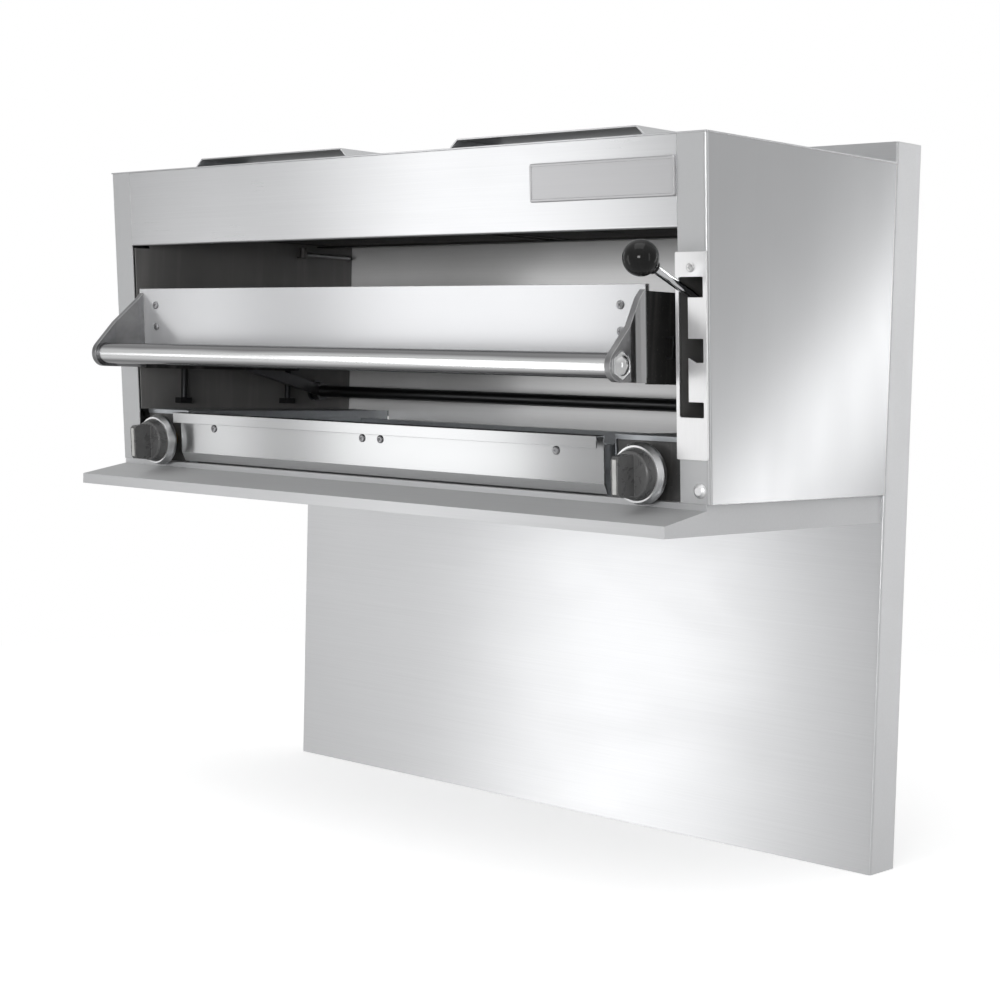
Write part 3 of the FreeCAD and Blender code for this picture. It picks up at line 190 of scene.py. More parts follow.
class Shader(ShaderTree):
    """Builds one procedural material around a Principled shader."""

    def __init__(self, name):
        self.material = bpy.data.materials.new(name)
        self.material.use_nodes = True
        super().__init__(self.material.node_tree)
        self.bsdf = self.add("ShaderNodeBsdfPrincipled")
        self.end = self.add("ShaderNodeOutputMaterial")
        self.tree.links.new(self.bsdf.outputs["BSDF"], self.end.inputs["Surface"])
        self.place = self.add("ShaderNodeTexCoord").outputs["Object"]

    def stretched(self, scale):
        """The place, scaled evenly by one number or by one along each axis."""
        node = self.add("ShaderNodeMapping")
        self.feed(node.inputs["Vector"], self.place)
        node.inputs["Scale"].default_value = (scale,) * 3 if isinstance(scale, float) else scale
        return node.outputs["Vector"]

    def noise(self, scale, detail, roughness, warp=0.0):
        """Scale is in cycles a metre."""
        node = self.add("ShaderNodeTexNoise")
        self.feed(node.inputs["Vector"], self.stretched(scale))
        node.inputs["Scale"].default_value = 1.0
        node.inputs["Detail"].default_value = detail
        node.inputs["Roughness"].default_value = roughness
        node.inputs["Distortion"].default_value = warp
        return node.outputs["Fac"]

    def cells(self, scale, output="Distance"):
        """Scale is in cells a metre."""
        node = self.add("ShaderNodeTexVoronoi", feature="F1")
        self.feed(node.inputs["Vector"], self.stretched(scale))
        node.inputs["Scale"].default_value = 1.0
        return node.outputs[output]

    def across(self):
        """Distance to the right of the middle."""
        return self.axis(self.place, "X")

    def outwards(self):
        """Distance in front of the leaning front."""
        return self.calc("SUBTRACT", self.dot(self.place, OUT), FRONT_FOOT.dot(OUT))

    def normal(self):
        return self.add("ShaderNodeNewGeometry").outputs["Normal"]

    def rounded(self, radius):
        """Normal of the surface with its edges rounded over by a radius."""
        node = self.add("ShaderNodeBevel", samples=BEVEL_SAMPLES)
        node.inputs["Radius"].default_value = radius
        return node.outputs["Normal"]

    def worn_edges(self, radius):
        """One on an edge and nothing on the flats, from how far a rounded normal turns away."""
        turn = self.dot(self.rounded(radius), self.normal())
        return self.remap(turn, EDGE_TURN, FLAT_TURN, to_low=1.0, to_high=0.0)

    def facing(self, way):
        """One on a face that looks one way, nothing on a face square to it."""
        return self.remap(self.dot(self.normal(), way), FACING_BEGINS, FACING_WHOLE)

    def spread(self, grain, amount):
        """Widens reflections square to the grain, as brushed metal does."""
        side = self.add("ShaderNodeVectorMath", operation="CROSS_PRODUCT")
        self.feed(side.inputs[0], self.normal())
        side.inputs[1].default_value = grain
        self.feed(self.bsdf.inputs["Tangent"], side.outputs["Vector"])
        self.bsdf.inputs["Anisotropic"].default_value = amount

    def heights(self, *layers, edge=0.0):
        """Bump layers, each a height and how far it reaches, over edges rounded by a radius."""
        normal = self.rounded(edge) if edge else None
        for height, reach in layers:
            node = self.add("ShaderNodeBump")
            node.inputs["Strength"].default_value = 1.0
            node.inputs["Distance"].default_value = reach
            self.feed(node.inputs["Height"], height)
            if normal is not None:
                self.feed(node.inputs["Normal"], normal)
            normal = node.outputs["Normal"]
        self.feed(self.bsdf.inputs["Normal"], normal)

    def set(self, **values):
        for key, value in values.items():
            self.feed(self.bsdf.inputs[key.replace("_", " ")], value)


def brushed(name, tone, rough, along, spread, grain=1.0, smudge=1.0, sag=1.0,
            dull_and_painted_tone=None, bow=None, metallic=1.0):
    """Sheet metal with a fine grain along one axis, faint wipe marks and a slight waviness.

    Dull gives a way to look, a painted tone that stands in for how light falls on the faces that look
    that way, and their roughness.
    Bow gives where across a long sheet stands proudest, and how fast it turns away, in
    radians a metre."""
    mat = Shader(name)
    long_way = "xyz".index(along)

    def stretch(run, across):
        """Cycles a metre along the grain and across it."""
        return tuple(run if axis == long_way else across for axis in range(3))

    fine = mat.noise(stretch(9.0, 1500.0), detail=2.0, roughness=0.6)
    coarse = mat.noise(stretch(2.5, 300.0), detail=2.0, roughness=0.5)
    mark = mat.noise(stretch(16.0, 2600.0), detail=1.0, roughness=0.5)
    scratch = mat.remap(mark, 0.72, 0.80)
    cloud = mat.noise(4.0, detail=2.0, roughness=0.5, warp=0.3)
    wipe = mat.noise(stretch(5.0, 14.0), detail=2.0, roughness=0.5, warp=0.5)
    wave = mat.noise(2.3, detail=0.0, roughness=0.4)

    fine_shade = 0.020 * grain
    coarse_shade = 0.010 * grain
    cloud_shade = 0.012 * smudge
    scratch_shade = 0.03 * grain
    shade = mat.calc("ADD", mat.vary(fine, 1.0 - fine_shade, 1.0 + fine_shade),
                     mat.vary(coarse, -coarse_shade, coarse_shade))
    shade = mat.calc("ADD", shade, mat.vary(cloud, -cloud_shade, cloud_shade))
    shade = mat.calc("SUBTRACT", shade, mat.calc("MULTIPLY", scratch, scratch_shade))

    fine_gloss = 0.012 * grain
    wiped = mat.remap(wipe, 0.35, 0.7, to_low=-0.008 * smudge, to_high=0.016 * smudge)
    gloss = mat.calc("ADD", mat.vary(fine, rough - fine_gloss, rough + fine_gloss), wiped)
    base = tone[:3]
    # Faces that look the given way get a painted tone that stands in for how light falls on them, and
    # their own roughness.
    if dull_and_painted_tone:
        way, painted_facing_tone, dull_rough = dull_and_painted_tone
        turned = mat.facing(way)
        base = mat.blend(turned, tone, painted_facing_tone)
        gloss = mat.calc("ADD", gloss, mat.calc("MULTIPLY", turned, dull_rough - rough))
    mat.set(Base_Color=mat.scaled(base, shade), Metallic=metallic, Roughness=gloss)
    mat.spread(GRAIN[along], spread)

    layers = [(wave, 0.0008 * sag), (coarse, 0.000004 * grain), (fine, 0.0000015 * grain)]
    if bow:
        middle, turn = bow
        away = mat.calc("SUBTRACT", mat.across(), middle)
        arch = mat.calc("MULTIPLY", mat.calc("MULTIPLY", away, away), -turn / 2)
        layers.insert(0, (arch, 1.0))
    mat.heights(*layers, edge=0.0007)
    return mat.material


def galvanised(name, pale):
    """Zinc-coated sheet with faint angular spangles."""
    mat = Shader(name)
    spangle = mat.cells(70.0, output="Color")
    grey = mat.add("ShaderNodeRGBToBW")
    mat.feed(grey.inputs["Color"], spangle)
    level = grey.outputs["Val"]
    cloud = mat.noise(12.0, detail=4.0, roughness=0.6, warp=0.5)
    tone = mat.blend(mat.remap(level, 0.2, 0.8), darker(pale, 0.88), pale)
    tone = mat.blend(mat.remap(cloud, 0.35, 0.75, to_high=0.25), tone, darker(pale, 0.75))
    gloss = mat.remap(level, 0.2, 0.8, to_low=0.40, to_high=0.5)
    mat.set(Base_Color=tone, Metallic=0.9, Roughness=gloss)
    mat.heights((cloud, 0.0002), edge=0.0006)
    return mat.material


def enamel(name, dark, pale):
    """Dark sheet with heat streaks and specks, for the chamber's lining, the valve plates and the
    rack's sides; on the valve plates its dark tone is a painted shade.
    """
    mat = Shader(name)
    cloud = mat.noise(7.0, detail=4.0, roughness=0.55, warp=0.5)
    speck = mat.remap(mat.noise(420.0, detail=2.0, roughness=0.5), 0.62, 0.75)
    streak = mat.noise((60.0, 60.0, 4.0), detail=3.0, roughness=0.6)
    tone = mat.blend(mat.vary(cloud), dark, pale)
    tone = mat.blend(mat.remap(streak, 0.5, 0.8, to_high=0.3), tone, rgb(0.30, 0.29, 0.28))
    tone = mat.blend(mat.calc("MULTIPLY", speck, 0.35), tone, rgb(0.16, 0.155, 0.15))
    gloss = mat.remap(cloud, 0.3, 0.75, to_low=0.45, to_high=0.6)
    mat.set(Base_Color=tone, Metallic=0.3, Roughness=gloss)
    mat.heights((cloud, 0.0003), (speck, 0.00003), edge=0.0006)
    return mat.material


def lining(name):
    """Aluminised sheet of the chamber's back: half polished, half matt, faintly heat-marked."""
    mat = Shader(name)
    cloud = mat.noise(5.0, detail=3.0, roughness=0.5, warp=0.4)
    fine = mat.noise((9.0, 900.0, 900.0), detail=2.0, roughness=0.6)
    tone = mat.blend(mat.vary(cloud), rgb(0.79, 0.79, 0.79), rgb(0.87, 0.87, 0.875))
    tone = mat.blend(mat.vary(fine, high=0.08), tone, rgb(0.45, 0.45, 0.45))
    mat.set(Base_Color=tone, Metallic=0.4, Roughness=mat.vary(cloud, 0.20, 0.26))
    mat.heights((cloud, 0.0004), edge=0.0006)
    return mat.material


def chromed(name, tone, rough):
    """Bright plated or polished metal with a few fine marks."""
    mat = Shader(name)
    haze = mat.noise(30.0, detail=4.0, roughness=0.6, warp=0.3)
    mark = mat.remap(mat.noise((900.0, 60.0, 900.0), detail=1.0, roughness=0.5), 0.68, 0.78)
    level = mat.blend(mat.vary(haze), darker(tone, 0.94), tone)
    gloss = mat.calc("ADD", mat.vary(haze, rough - 0.02, rough + 0.03),
                     mat.calc("MULTIPLY", mark, 0.06))
    mat.set(Base_Color=level, Metallic=1.0, Roughness=gloss)
    mat.heights((haze, 0.00005), edge=0.0004)
    return mat.material


def handle_polish(name):
    """Polished bar, with a painted dark reflection above and below, where it faces up and down."""
    mat = Shader(name)
    lie = mat.dot(mat.normal(), UP)
    haze = mat.noise((5.0, 90.0, 90.0), detail=3.0, roughness=0.5, warp=0.2)
    # Painted reflection: the faces that look up and down are painted dark.
    painted_dark_band = mat.calc("ADD", mat.calc("ABSOLUTE", lie), mat.vary(haze, -0.06, 0.06))
    tone = mat.blend(mat.remap(painted_dark_band, 0.34, 0.62), rgb(0.90, 0.905, 0.91), rgb(0.27, 0.27, 0.275))
    mat.set(Base_Color=tone, Metallic=1.0, Roughness=mat.vary(haze, 0.16, 0.21))
    mat.spread(GRAIN["x"], 0.2)
    mat.heights((haze, 0.00002), edge=0.0004)
    return mat.material


def cast(name, dark, pale, metallic, rough, grit=260.0, depth=0.0003):
    """Rough casting: sand texture of a grit in grains a metre, uneven tone."""
    mat = Shader(name)
    grains = mat.noise(grit, detail=4.0, roughness=0.65)
    pits = mat.cells(grit * 1.6)
    cloud = mat.noise(20.0, detail=4.0, roughness=0.6, warp=0.4)
    tone = mat.blend(mat.vary(cloud), dark, pale)
    tone = mat.blend(mat.remap(pits, 0.0, 0.35, to_low=0.35, to_high=0.0), tone, dark)
    mat.set(Base_Color=tone, Metallic=metallic,
            Roughness=mat.vary(grains, rough - 0.08, rough + 0.08))
    mat.heights((grains, depth), (pits, depth * 0.5), edge=0.0006)
    return mat.material


def bracket_metal(name):
    """Casting of the handle brackets: ground feet on the outer sides, bright nuts, a dull web."""
    # Distance from the middle at which the nuts begin
    nut_begins = 0.4060
    nut_whole = 0.4062
    # Distance ahead of the front to which the feet reach
    foot_begins = 0.0375
    foot_whole = 0.0350
    mat = Shader(name)
    side = mat.across()
    nut = mat.remap(mat.calc("ABSOLUTE", side), nut_begins, nut_whole)
    looks = mat.axis(mat.normal(), "X")
    outer = mat.remap(mat.calc("MULTIPLY", looks, mat.calc("SIGN", side)), 0.6, 0.9)
    foot = mat.calc("MULTIPLY", outer, mat.remap(mat.outwards(), foot_begins, foot_whole))
    grains = mat.noise(240.0, detail=4.0, roughness=0.6)
    cloud = mat.noise(30.0, detail=3.0, roughness=0.5, warp=0.3)
    tone = mat.blend(mat.vary(cloud), rgb(0.20, 0.20, 0.205), rgb(0.34, 0.34, 0.345))
    worn = mat.calc("MULTIPLY", mat.worn_edges(0.0016), 0.7)
    tone = mat.blend(worn, tone, rgb(0.66, 0.66, 0.66))
    tone = mat.blend(foot, tone, rgb(0.66, 0.66, 0.665))
    tone = mat.blend(nut, tone, rgb(0.78, 0.785, 0.79))
    matt = mat.vary(grains, 0.32, 0.44)
    polish = mat.vary(grains, 0.13, 0.19)
    gloss = mat.calc("ADD", mat.calc("MULTIPLY", matt, mat.calc("SUBTRACT", 1.0, nut)),
                     mat.calc("MULTIPLY", polish, nut))
    metallic = mat.remap(foot, 0.0, 1.0, to_low=1.0, to_high=0.35)
    mat.set(Base_Color=tone, Metallic=metallic, Roughness=gloss)
    mat.heights((cloud, 0.0002), (grains, 0.00004), edge=0.0008)
    return mat.material


def ceramic(name):
    """Burner tile darkened by use: rows of fine flame holes in a matt body."""
    mat = Shader(name)
    holes = mat.remap(mat.cells((520.0, 520.0, 40.0)), 0.22, 0.34)
    cloud = mat.noise(25.0, detail=3.0, roughness=0.5)
    tone = mat.blend(mat.vary(cloud), rgb(0.070, 0.068, 0.066), rgb(0.105, 0.102, 0.099))
    # The holes are painted near-black, a painted shade for their insides.
    tone = mat.blend(holes, rgb(0.02, 0.018, 0.016), tone)
    mat.set(Base_Color=tone, Roughness=0.85)
    mat.heights((holes, 0.0006))
    return mat.material


def phenolic(name, level, rough, sheen):
    """Dark moulded plastic of a grey level, faint flow marks, rubbed a little paler on its edges."""
    mat = Shader(name)
    flow = mat.noise(55.0, detail=4.0, roughness=0.6, warp=1.2)
    peel = mat.noise(900.0, detail=2.0, roughness=0.5)
    dust = mat.remap(mat.noise(140.0, detail=3.0, roughness=0.6), 0.60, 0.78, to_high=0.2)
    tone = mat.blend(mat.vary(flow), rgb(level), rgb(level * 1.6))
    tone = mat.blend(dust, tone, rgb(level * 2.5))
    worn = mat.calc("MULTIPLY", mat.worn_edges(0.0009), 0.5)
    tone = mat.blend(worn, tone, rgb(level * 5.0))
    mat.set(Base_Color=tone, Roughness=mat.vary(flow, rough - 0.03, rough + 0.04),
            Specular_IOR_Level=sheen)
    mat.heights((flow, 0.00006), (peel, 0.000004), edge=0.0009)
    return mat.material


def painted(name, tone, worn):
    """Flat pale coating with slight unevenness."""
    mat = Shader(name)
    cloud = mat.noise(80.0, detail=4.0, roughness=0.6)
    mat.set(Base_Color=mat.blend(mat.remap(cloud, 0.4, 0.75, to_high=0.6), tone, worn),
            Roughness=mat.vary(cloud, 0.42, 0.58))
    mat.heights((cloud, 0.0001))
    return mat.material


AHEAD = (0.0, -1.0, 0.0)
ABOVE = (0.0, 0.0, 1.0)
LOW_AHEAD = (0.0, -0.5, -0.866)

FINISH = {
    "front": brushed("stainless_front", rgb(0.66, 0.665, 0.675), rough=0.29, along="x",
                     spread=0.85),
    "riser": brushed("stainless_riser", rgb(0.72, 0.725, 0.735), rough=0.34, along="x",
                     spread=0.85),
    "rack": brushed("stainless_rack", rgb(0.53, 0.535, 0.545), rough=0.23, along="x",
                    spread=0.85, grain=0.3, smudge=0.6, metallic=0.7),
    # The faces that look ahead get a darker painted shade, and a rougher finish.
    "side": brushed("stainless_side", rgb(0.50, 0.505, 0.512), rough=0.18, along="z",
                    spread=0.2, grain=0.3, dull_and_painted_tone=(AHEAD, rgb(0.42, 0.424, 0.43), 0.38),
                    metallic=0.66),
    # The faces that look up get a darker painted tone that stands in for a dark reflection, and a
    # rougher finish.
    "tray": brushed("stainless_tray", rgb(0.74, 0.745, 0.755), rough=0.50, along="x",
                    spread=0.85, dull_and_painted_tone=(ABOVE, rgb(0.60, 0.605, 0.61), 0.68)),
    # The faces that look down and ahead get a paler painted light, and a rougher finish.
    "bright": brushed("stainless_bright", rgb(0.51, 0.515, 0.52), rough=0.22, along="x",
                      spread=0.85, grain=0.3, smudge=0.6,
                      dull_and_painted_tone=(LOW_AHEAD, rgb(0.86, 0.865, 0.87), 0.42), bow=(-0.24, 0.09)),
    "gate": brushed("stainless_gate", rgb(0.88, 0.88, 0.885), rough=0.34, along="z",
                    spread=0.5, grain=0.8, sag=0.3),
    "plate": brushed("plate_satin", rgb(0.56, 0.56, 0.57), rough=0.40, along="x",
                     spread=0.6, grain=0.7, smudge=0.6, sag=0.2),
    "chamber": lining("chamber_back_steel"),
    "galvanised": galvanised("galvanised_sheet", rgb(0.50, 0.52, 0.54)),
    "runner": galvanised("dull_zinc", rgb(0.045, 0.046, 0.048)),
    "enamel": enamel("dark_lining", rgb(0.15, 0.148, 0.146), rgb(0.20, 0.197, 0.194)),
    # The valve plates are painted near-black: a painted shade for the bays around the knobs.
    "bay": enamel("painted_shade_bay", rgb(0.050, 0.050, 0.051), rgb(0.085, 0.084, 0.083)),
    "rack_side": enamel("dark_rack_side", rgb(0.022, 0.022, 0.022), rgb(0.040, 0.039, 0.038)),
    "chrome": chromed("polished_chrome", rgb(0.84, 0.85, 0.86), rough=0.10),
    "stud": chromed("pale_stud", rgb(0.93, 0.93, 0.935), rough=0.42),
    "skirt": chromed("satin_chrome", rgb(0.84, 0.845, 0.85), rough=0.32),
    "handle": handle_polish("handle_polish"),
    "bracket": bracket_metal("bracket_casting"),
    "ground": chromed("dull_ground_steel", rgb(0.16, 0.16, 0.165), rough=0.34),
    "screw": chromed("screw_steel", rgb(0.34, 0.34, 0.35), rough=0.30),
    "pale_screw": chromed("bright_screw_steel", rgb(0.70, 0.70, 0.70), rough=0.30),
    "iron": cast("cast_iron", rgb(0.020), rgb(0.045), metallic=0.3, rough=0.62),
    "casting": cast("burner_casting", rgb(0.05, 0.048, 0.046), rgb(0.10, 0.095, 0.09),
                    metallic=0.4, rough=0.6),
    "ceramic": ceramic("burner_ceramic"),
    "brass": chromed("brass_fitting", rgb(0.50, 0.36, 0.16), rough=0.28),
    "sooted": chromed("sooted_brass", rgb(0.17, 0.165, 0.16), rough=0.42),
    "pipe": cast("black_pipe", rgb(0.018), rgb(0.035), metallic=0.2, rough=0.5,
                 grit=180.0, depth=0.0001),
    "tube": chromed("aluminium_tube", rgb(0.42, 0.42, 0.43), rough=0.34),
    "black": phenolic("black_phenolic", level=0.050, rough=0.28, sheen=0.60),
    "ball": phenolic("black_ball", level=0.004, rough=0.09, sheen=0.25),
    "inlay": painted("pointer_inlay", rgb(0.34, 0.34, 0.33), rgb(0.24, 0.235, 0.23)),
}

WEARS = {
    "front": "header_panel riser_cap top_panel flue_hats",
    "riser": "riser_panel",
    "rack": "rack_front",
    "side": "side_panel_left side_panel_right",
    "tray": "spill_tray",
    "bright": "drawer_front",
    "gate": "gate_plate",
    "plate": "name_plate",
    "chamber": "chamber_back",
    "galvanised": "riser_posts rear_cover grease_pan bay_covers",
    "runner": "rack_runners burner_rails carriage_rails carriage_tie guide_feet guide_rods",
    "enamel": "chamber_side_left chamber_side_right",
    "rack_side": "rack_side_left rack_side_right rack_rear",
    "bay": "valve_plates",
    "chrome": "lever_bar",
    "stud": "post_stud",
    "skirt": "knob_skirt_left knob_skirt_right",
    "handle": "handle_bar",
    "bracket": "handle_brackets",
    "ground": "lift_shaft lift_arms lever_fork fork_pin valve_stem_left valve_stem_right "
              "shaft_bushes",
    "screw": "drawer_screws rack_screws gate_screw",
    "iron": "grid_left grid_right",
    "casting": "burner_bodies venturis",
    "ceramic": "burner_tiles",
    "brass": "gas_valves orifices pilot_valves",
    "sooted": "pilot_heads",
    "pipe": "gas_manifold",
    "tube": "burner_tubes pilot_tubes",
    "black": "knob_left knob_right",
    "ball": "ball_knob",
}

for finish, names in WEARS.items():
    for name in names.split():
        for place in NODES[name].material_slots:
            place.material = FINISH[finish]


# Pieces made here

# Height over width (mm) of a screw's outline, from the end of its shank to the top of its head
SCREW_OUTLINE = [(0.0, -7.0), (1.95, -7.0), (1.95, 0.0), (4.45, 0.0), (4.5, 0.5), (4.35, 1.1),
                 (3.9, 1.6), (3.0, 1.85), (1.6, 1.97), (0.0, 2.0)]
SCREW_SIDES = 40
# Widths and lengths of the two arms of its recess, where and how deep they are cut (mm)
RECESS_ARMS = ((0.95, 5.0), (5.0, 0.95))
RECESS_MIDDLE = 1.95
RECESS_DEPTH = 2.1
RECESS_TAPER = 0.72
ON_AXIS = 1e-9

# Places of the screws on the leaning front: across, outwards and up (mm)
DRAWER_SCREWS = [(x, 0, 44) for x in (-280, -21.5, 7.5, 266)]
RACK_SCREWS = [(x, 14, up) for x in (-365, 365) for up in (167, 193)]
GATE_SCREW = [(441.6, 2, 228)]
SCREW_SEED = 7

# Pointer line: its middle on the front for a knob at x, and its width, height and depth (mm)
KNOB_X = 380
POINTER_OUT = 46.1
POINTER_UP = 27
POINTER_SIZE = (4.6, 34.0, 0.4)
POINTER_EDGE = 0.1


def new_piece(name, mesh, body, finish):
    obj = bpy.data.objects.new(name, mesh)
    bpy.context.scene.collection.objects.link(obj)
    mesh.materials.clear()
    mesh.materials.append(FINISH[finish])
    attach(obj, body)
    return obj


def lathe(profile, segments):
    """Closed solid of revolution about Z from (radius, height) pairs, axis to axis."""
    work = bmesh.new()
    rings = []
    for radius, height in profile:
        if radius < ON_AXIS:
            rings.append([work.verts.new((0.0, 0.0, height))])
            continue
        ring = []
        for step in range(segments):
            turn = 2 * math.pi * step / segments
            spot = (radius * math.cos(turn), radius * math.sin(turn), height)
            ring.append(work.verts.new(spot))
        rings.append(ring)
    for low, high in zip(rings, rings[1:]):
        for step in range(segments):
            after = (step + 1) % segments
            corners = [low[step % len(low)], low[after % len(low)],
                       high[after % len(high)], high[step % len(high)]]
            unique = list(dict.fromkeys(corners))
            if len(unique) > 2:
                work.faces.new(unique)
    bmesh.ops.recalc_face_normals(work, faces=work.faces)
    return work


def seated(spot, out, up):
    """Matrix at a spot whose Z looks out of the face, with Y up along it."""
    side = up.cross(out).normalized()
    axes = Matrix((side, up, out)).transposed().to_4x4()
    return Matrix.Translation(spot) @ axes


def screw_mesh():
    """Pan head with a cross recess and a plain shank, Z outwards from the seat."""
    body = lathe([(radius * MM, height * MM) for radius, height in SCREW_OUTLINE], SCREW_SIDES)
    mesh = bpy.data.meshes.new("screw")
    body.to_mesh(mesh)
    cutter = bmesh.new()
    for width, length in RECESS_ARMS:
        cube = bmesh.ops.create_cube(cutter, size=1.0)["verts"]
        for vert in cube:
            taper = RECESS_TAPER if vert.co.z < 0 else 1.0
            vert.co = Vector((vert.co.x * width * taper, vert.co.y * length * taper,
                              RECESS_MIDDLE + vert.co.z * RECESS_DEPTH)) * MM
    cross = bpy.data.meshes.new("cross")
    cutter.to_mesh(cross)
    body_obj = bpy.data.objects.new("screw_body", mesh)
    cross_obj = bpy.data.objects.new("screw_cross", cross)
    for obj in (body_obj, cross_obj):
        bpy.context.scene.collection.objects.link(obj)
    cut = body_obj.modifiers.new("cut", "BOOLEAN")
    cut.operation = "DIFFERENCE"
    cut.object = cross_obj
    cut.solver = "EXACT"
    cut.use_self = True
    result = bpy.data.meshes.new_from_object(
        body_obj.evaluated_get(bpy.context.evaluated_depsgraph_get()))
    for obj in (body_obj, cross_obj):
        bpy.data.objects.remove(obj)
    return result


SCREW = screw_mesh()


def screw_set(name, body, node, finish, spots):
    """All the screws of one node, each turned a little differently."""
    work = bmesh.new()
    for spot in spots:
        piece = bmesh.new()
        piece.from_mesh(SCREW)
        turn = Matrix.Rotation(random.uniform(0, math.pi / 2), 4, "Z")
        seat = seated(on_front(*spot), OUT, UP)
        bmesh.ops.transform(piece, matrix=seat @ turn, verts=piece.verts)
        holder = bpy.data.meshes.new("one")
        piece.to_mesh(holder)
        work.from_mesh(holder)
        bpy.data.meshes.remove(holder)
        piece.free()
    mesh = bpy.data.meshes.new(name)
    work.to_mesh(mesh)
    obj = new_piece(name, mesh, body, finish)
    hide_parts(node)


random.seed(SCREW_SEED)
screw_set("drawer_front_screws", "drawer", "drawer_screws", "screw", DRAWER_SCREWS)
screw_set("rack_panel_screws", "rack", "rack_screws", "screw", RACK_SCREWS)
screw_set("gate_top_screw", "cabinet", "gate_screw", "pale_screw", GATE_SCREW)


def pointer(name, body, x):
    """Pale line set into the front of a knob's grip."""
    work = bmesh.new()
    cube = bmesh.ops.create_cube(work, size=1.0)["verts"]
    middle = on_front(x, POINTER_OUT, POINTER_UP)
    width, height, depth = POINTER_SIZE
    for vert in cube:
        local = RIGHT * vert.co.x * width + UP * vert.co.y * height + OUT * vert.co.z * depth
        vert.co = middle + local * MM
    bmesh.ops.bevel(work, geom=work.edges[:], offset=POINTER_EDGE * MM, segments=2,
                    affect="EDGES")
    mesh = bpy.data.meshes.new(name)
    work.to_mesh(mesh)
    new_piece(name, mesh, body, "inlay")


pointer("pointer_left", "left_knob", -KNOB_X)
pointer("pointer_right", "right_knob", KNOB_X)


# Stage, light and camera

FLOOR_RADIUS = 14.0
FLOOR_SIDES = 96
FLOOR_GAP = 0.0002
# Light that the camera adds to the floor, and how far out the white background takes over
FLOOR_LIFT = 0.34
FADE_BEGINS = 0.7
FADE_WHOLE = 1.6

# Grey level of the surround by height, as metal shows it, and as it lights the part
SURROUND = [(0.0, 0.60), (0.40, 0.55), (0.48, 0.53), (0.55, 0.52), (0.70, 0.55), (1.0, 0.85)]
SURROUND_LIGHT = 0.70
# The surround is a little dimmer toward the back right
DIM_WAY = Vector((0.67, 0.74, 0.0))
DIM_BEGINS = -0.2
DIM_LEVEL = 0.97

# The camera's direction from the part and its roll in degrees, its place, and its lens
VIEW_AZIMUTH = 42.37
VIEW_ELEVATION = 3.86
VIEW_ROLL = -1.46
VIEW_PLACE = (1.619, -1.931, 0.447)
SENSOR_WIDTH = 36.0
FOCAL_IN_SENSORS = 2.020


def stage_floor():
    """Pale floor that keeps the shadow, and turns into the white background further out."""
    mesh = bpy.data.meshes.new("floor")
    work = bmesh.new()
    bmesh.ops.create_circle(work, cap_ends=True, radius=FLOOR_RADIUS, segments=FLOOR_SIDES)
    work.to_mesh(mesh)
    floor = bpy.data.objects.new("floor", mesh)
    floor.location.z = CAD_BOX[0][2] - FLOOR_GAP
    bpy.context.scene.collection.objects.link(floor)
    mat = Shader("pale_floor")
    away = mat.add("ShaderNodeVectorMath", operation="LENGTH")
    mat.feed(away.inputs[0], mat.place)
    mat.set(Base_Color=rgb(0.90), Roughness=0.9, Specular_IOR_Level=0.0)
    seen = mat.add("ShaderNodeLightPath").outputs["Is Camera Ray"]
    lift = mat.add("ShaderNodeEmission")
    mat.feed(lift.inputs["Strength"], mat.calc("MULTIPLY", seen, FLOOR_LIFT))
    lit = mat.add("ShaderNodeAddShader")
    mat.feed(lit.inputs[0], mat.bsdf.outputs[0])
    mat.feed(lit.inputs[1], lift.outputs[0])
    plain = mat.add("ShaderNodeEmission")
    mixed = mat.add("ShaderNodeMixShader")
    fade = mat.remap(away.outputs["Value"], FADE_BEGINS, FADE_WHOLE)
    mat.feed(mixed.inputs[0], mat.calc("MULTIPLY", fade, seen))
    mat.feed(mixed.inputs[1], lit.outputs[0])
    mat.feed(mixed.inputs[2], plain.outputs[0])
    mat.feed(mat.end.inputs["Surface"], mixed.outputs[0])
    mesh.materials.append(mat.material)
    floor.visible_glossy = False
    floor.visible_shadow = False


def studio_world():
    """White for the camera; a soft pale surround for reflections and light."""
    world = bpy.data.worlds.new("studio")
    bpy.context.scene.world = world
    world.use_nodes = True
    sky = ShaderTree(world.node_tree)
    place = sky.add("ShaderNodeTexCoord").outputs["Generated"]
    ramp = sky.add("ShaderNodeValToRGB")
    sky.feed(ramp.inputs["Fac"], sky.remap(sky.axis(place, "Z"), -1.0, 1.0))
    stops = ramp.color_ramp.elements
    for stop, (position, level) in ((stops[0], SURROUND[0]), (stops[1], SURROUND[-1])):
        stop.position = position
        stop.color = rgb(level)
    for position, level in SURROUND[1:-1]:
        stops.new(position).color = rgb(level)
    dim = sky.remap(sky.dot(place, DIM_WAY), DIM_BEGINS, 1.0, to_low=1.0, to_high=DIM_LEVEL)
    path = sky.add("ShaderNodeLightPath").outputs
    mirrored = sky.calc("MAXIMUM", path["Is Glossy Ray"], path["Is Transmission Ray"])
    shown = sky.scaled(ramp.outputs["Color"], dim)
    surround = sky.blend(mirrored, rgb(SURROUND_LIGHT), shown)
    background = sky.add("ShaderNodeBackground")
    sky.feed(background.inputs["Color"], sky.blend(path["Is Camera Ray"], surround, rgb(1.0)))
    end = sky.add("ShaderNodeOutputWorld")
    sky.feed(end.inputs["Surface"], background.outputs[0])


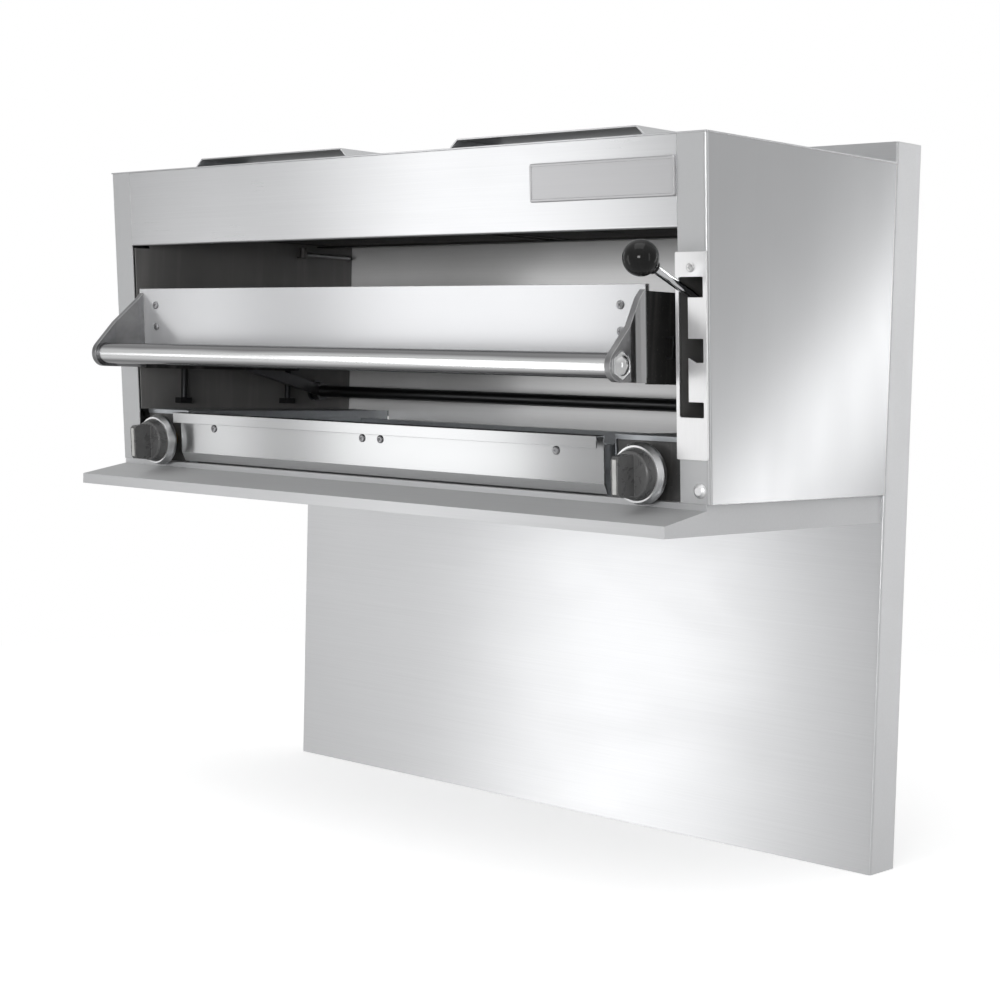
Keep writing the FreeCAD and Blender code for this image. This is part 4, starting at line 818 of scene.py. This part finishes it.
def softbox(name, spot, target, wide, high, level, lean=0.0, mirrored=True):
    """Area lamp that faces a point, turned by a lean in degrees about its own axis.

    Level is how bright it looks; metal shows it if it is mirrored."""
    lamp = bpy.data.lights.new(name, "AREA")
    lamp.shape = "RECTANGLE"
    lamp.size = wide
    lamp.size_y = high
    lamp.energy = level * math.pi * wide * high
    obj = bpy.data.objects.new(name, lamp)
    toward = Vector(target) - Vector(spot)
    aim = toward.to_track_quat("-Z", "Y").to_matrix().to_4x4()
    turn = Matrix.Rotation(math.radians(lean), 4, "Z")
    obj.matrix_world = Matrix.Translation(spot) @ aim @ turn
    bpy.context.scene.collection.objects.link(obj)
    obj.visible_camera = False
    obj.visible_glossy = mirrored


def camera():
    azimuth = math.radians(VIEW_AZIMUTH)
    elevation = math.radians(VIEW_ELEVATION)
    roll = math.radians(VIEW_ROLL)
    back = Vector((math.sin(azimuth) * math.cos(elevation),
                   -math.cos(azimuth) * math.cos(elevation), math.sin(elevation)))
    forward = -back
    right = forward.cross(Vector((0, 0, 1))).normalized()
    up = right.cross(forward)
    turn = Matrix.Rotation(roll, 3, forward)
    axes = Matrix((turn @ right, turn @ up, back)).transposed().to_4x4()
    lens = bpy.data.cameras.new("camera")
    lens.lens = SENSOR_WIDTH * FOCAL_IN_SENSORS
    lens.sensor_width = SENSOR_WIDTH
    obj = bpy.data.objects.new("camera", lens)
    obj.matrix_world = Matrix.Translation(VIEW_PLACE) @ axes
    bpy.context.scene.collection.objects.link(obj)
    bpy.context.scene.camera = obj


stage_floor()
studio_world()
softbox("lamp_front_left", spot=(-2.24, -2.96, -0.4), target=(0.1, -0.2, -0.4),
        wide=0.80, high=3.1, level=1.50)
softbox("lamp_far_left", spot=(-3.46, -2.97, 0.0), target=(-0.3, -0.37, 0.0),
        wide=0.24, high=1.0, level=1.7)
softbox("lamp_back_right", spot=(2.1, 2.62, 0.52), target=(0.457, -0.05, 0.48),
        wide=0.16, high=2.4, level=4.4, lean=-35.0)
softbox("lamp_side_right", spot=(3.0, -0.3, 0.7), target=(0.45, -0.2, 0.45),
        wide=0.35, high=1.8, level=1.5)
softbox("lamp_side_left", spot=(-3.0, -0.3, 0.7), target=(-0.45, -0.2, 0.45),
        wide=0.35, high=1.8, level=1.5)
softbox("lamp_front", spot=(0.25, -2.5, 0.52), target=(0.1, -0.1, 0.42),
        wide=0.7, high=0.35, level=26.0, mirrored=False)
softbox("lamp_fill_right", spot=(1.7, -3.0, 0.7), target=(0.0, -0.1, 0.5),
        wide=0.8, high=0.6, level=12.0)
softbox("lamp_top", spot=(0.4, -0.9, 2.6), target=(0.0, -0.2, 0.3),
        wide=1.8, high=1.8, level=1.2)
camera()

scene = bpy.context.scene
scene.view_settings.view_transform = "Standard"
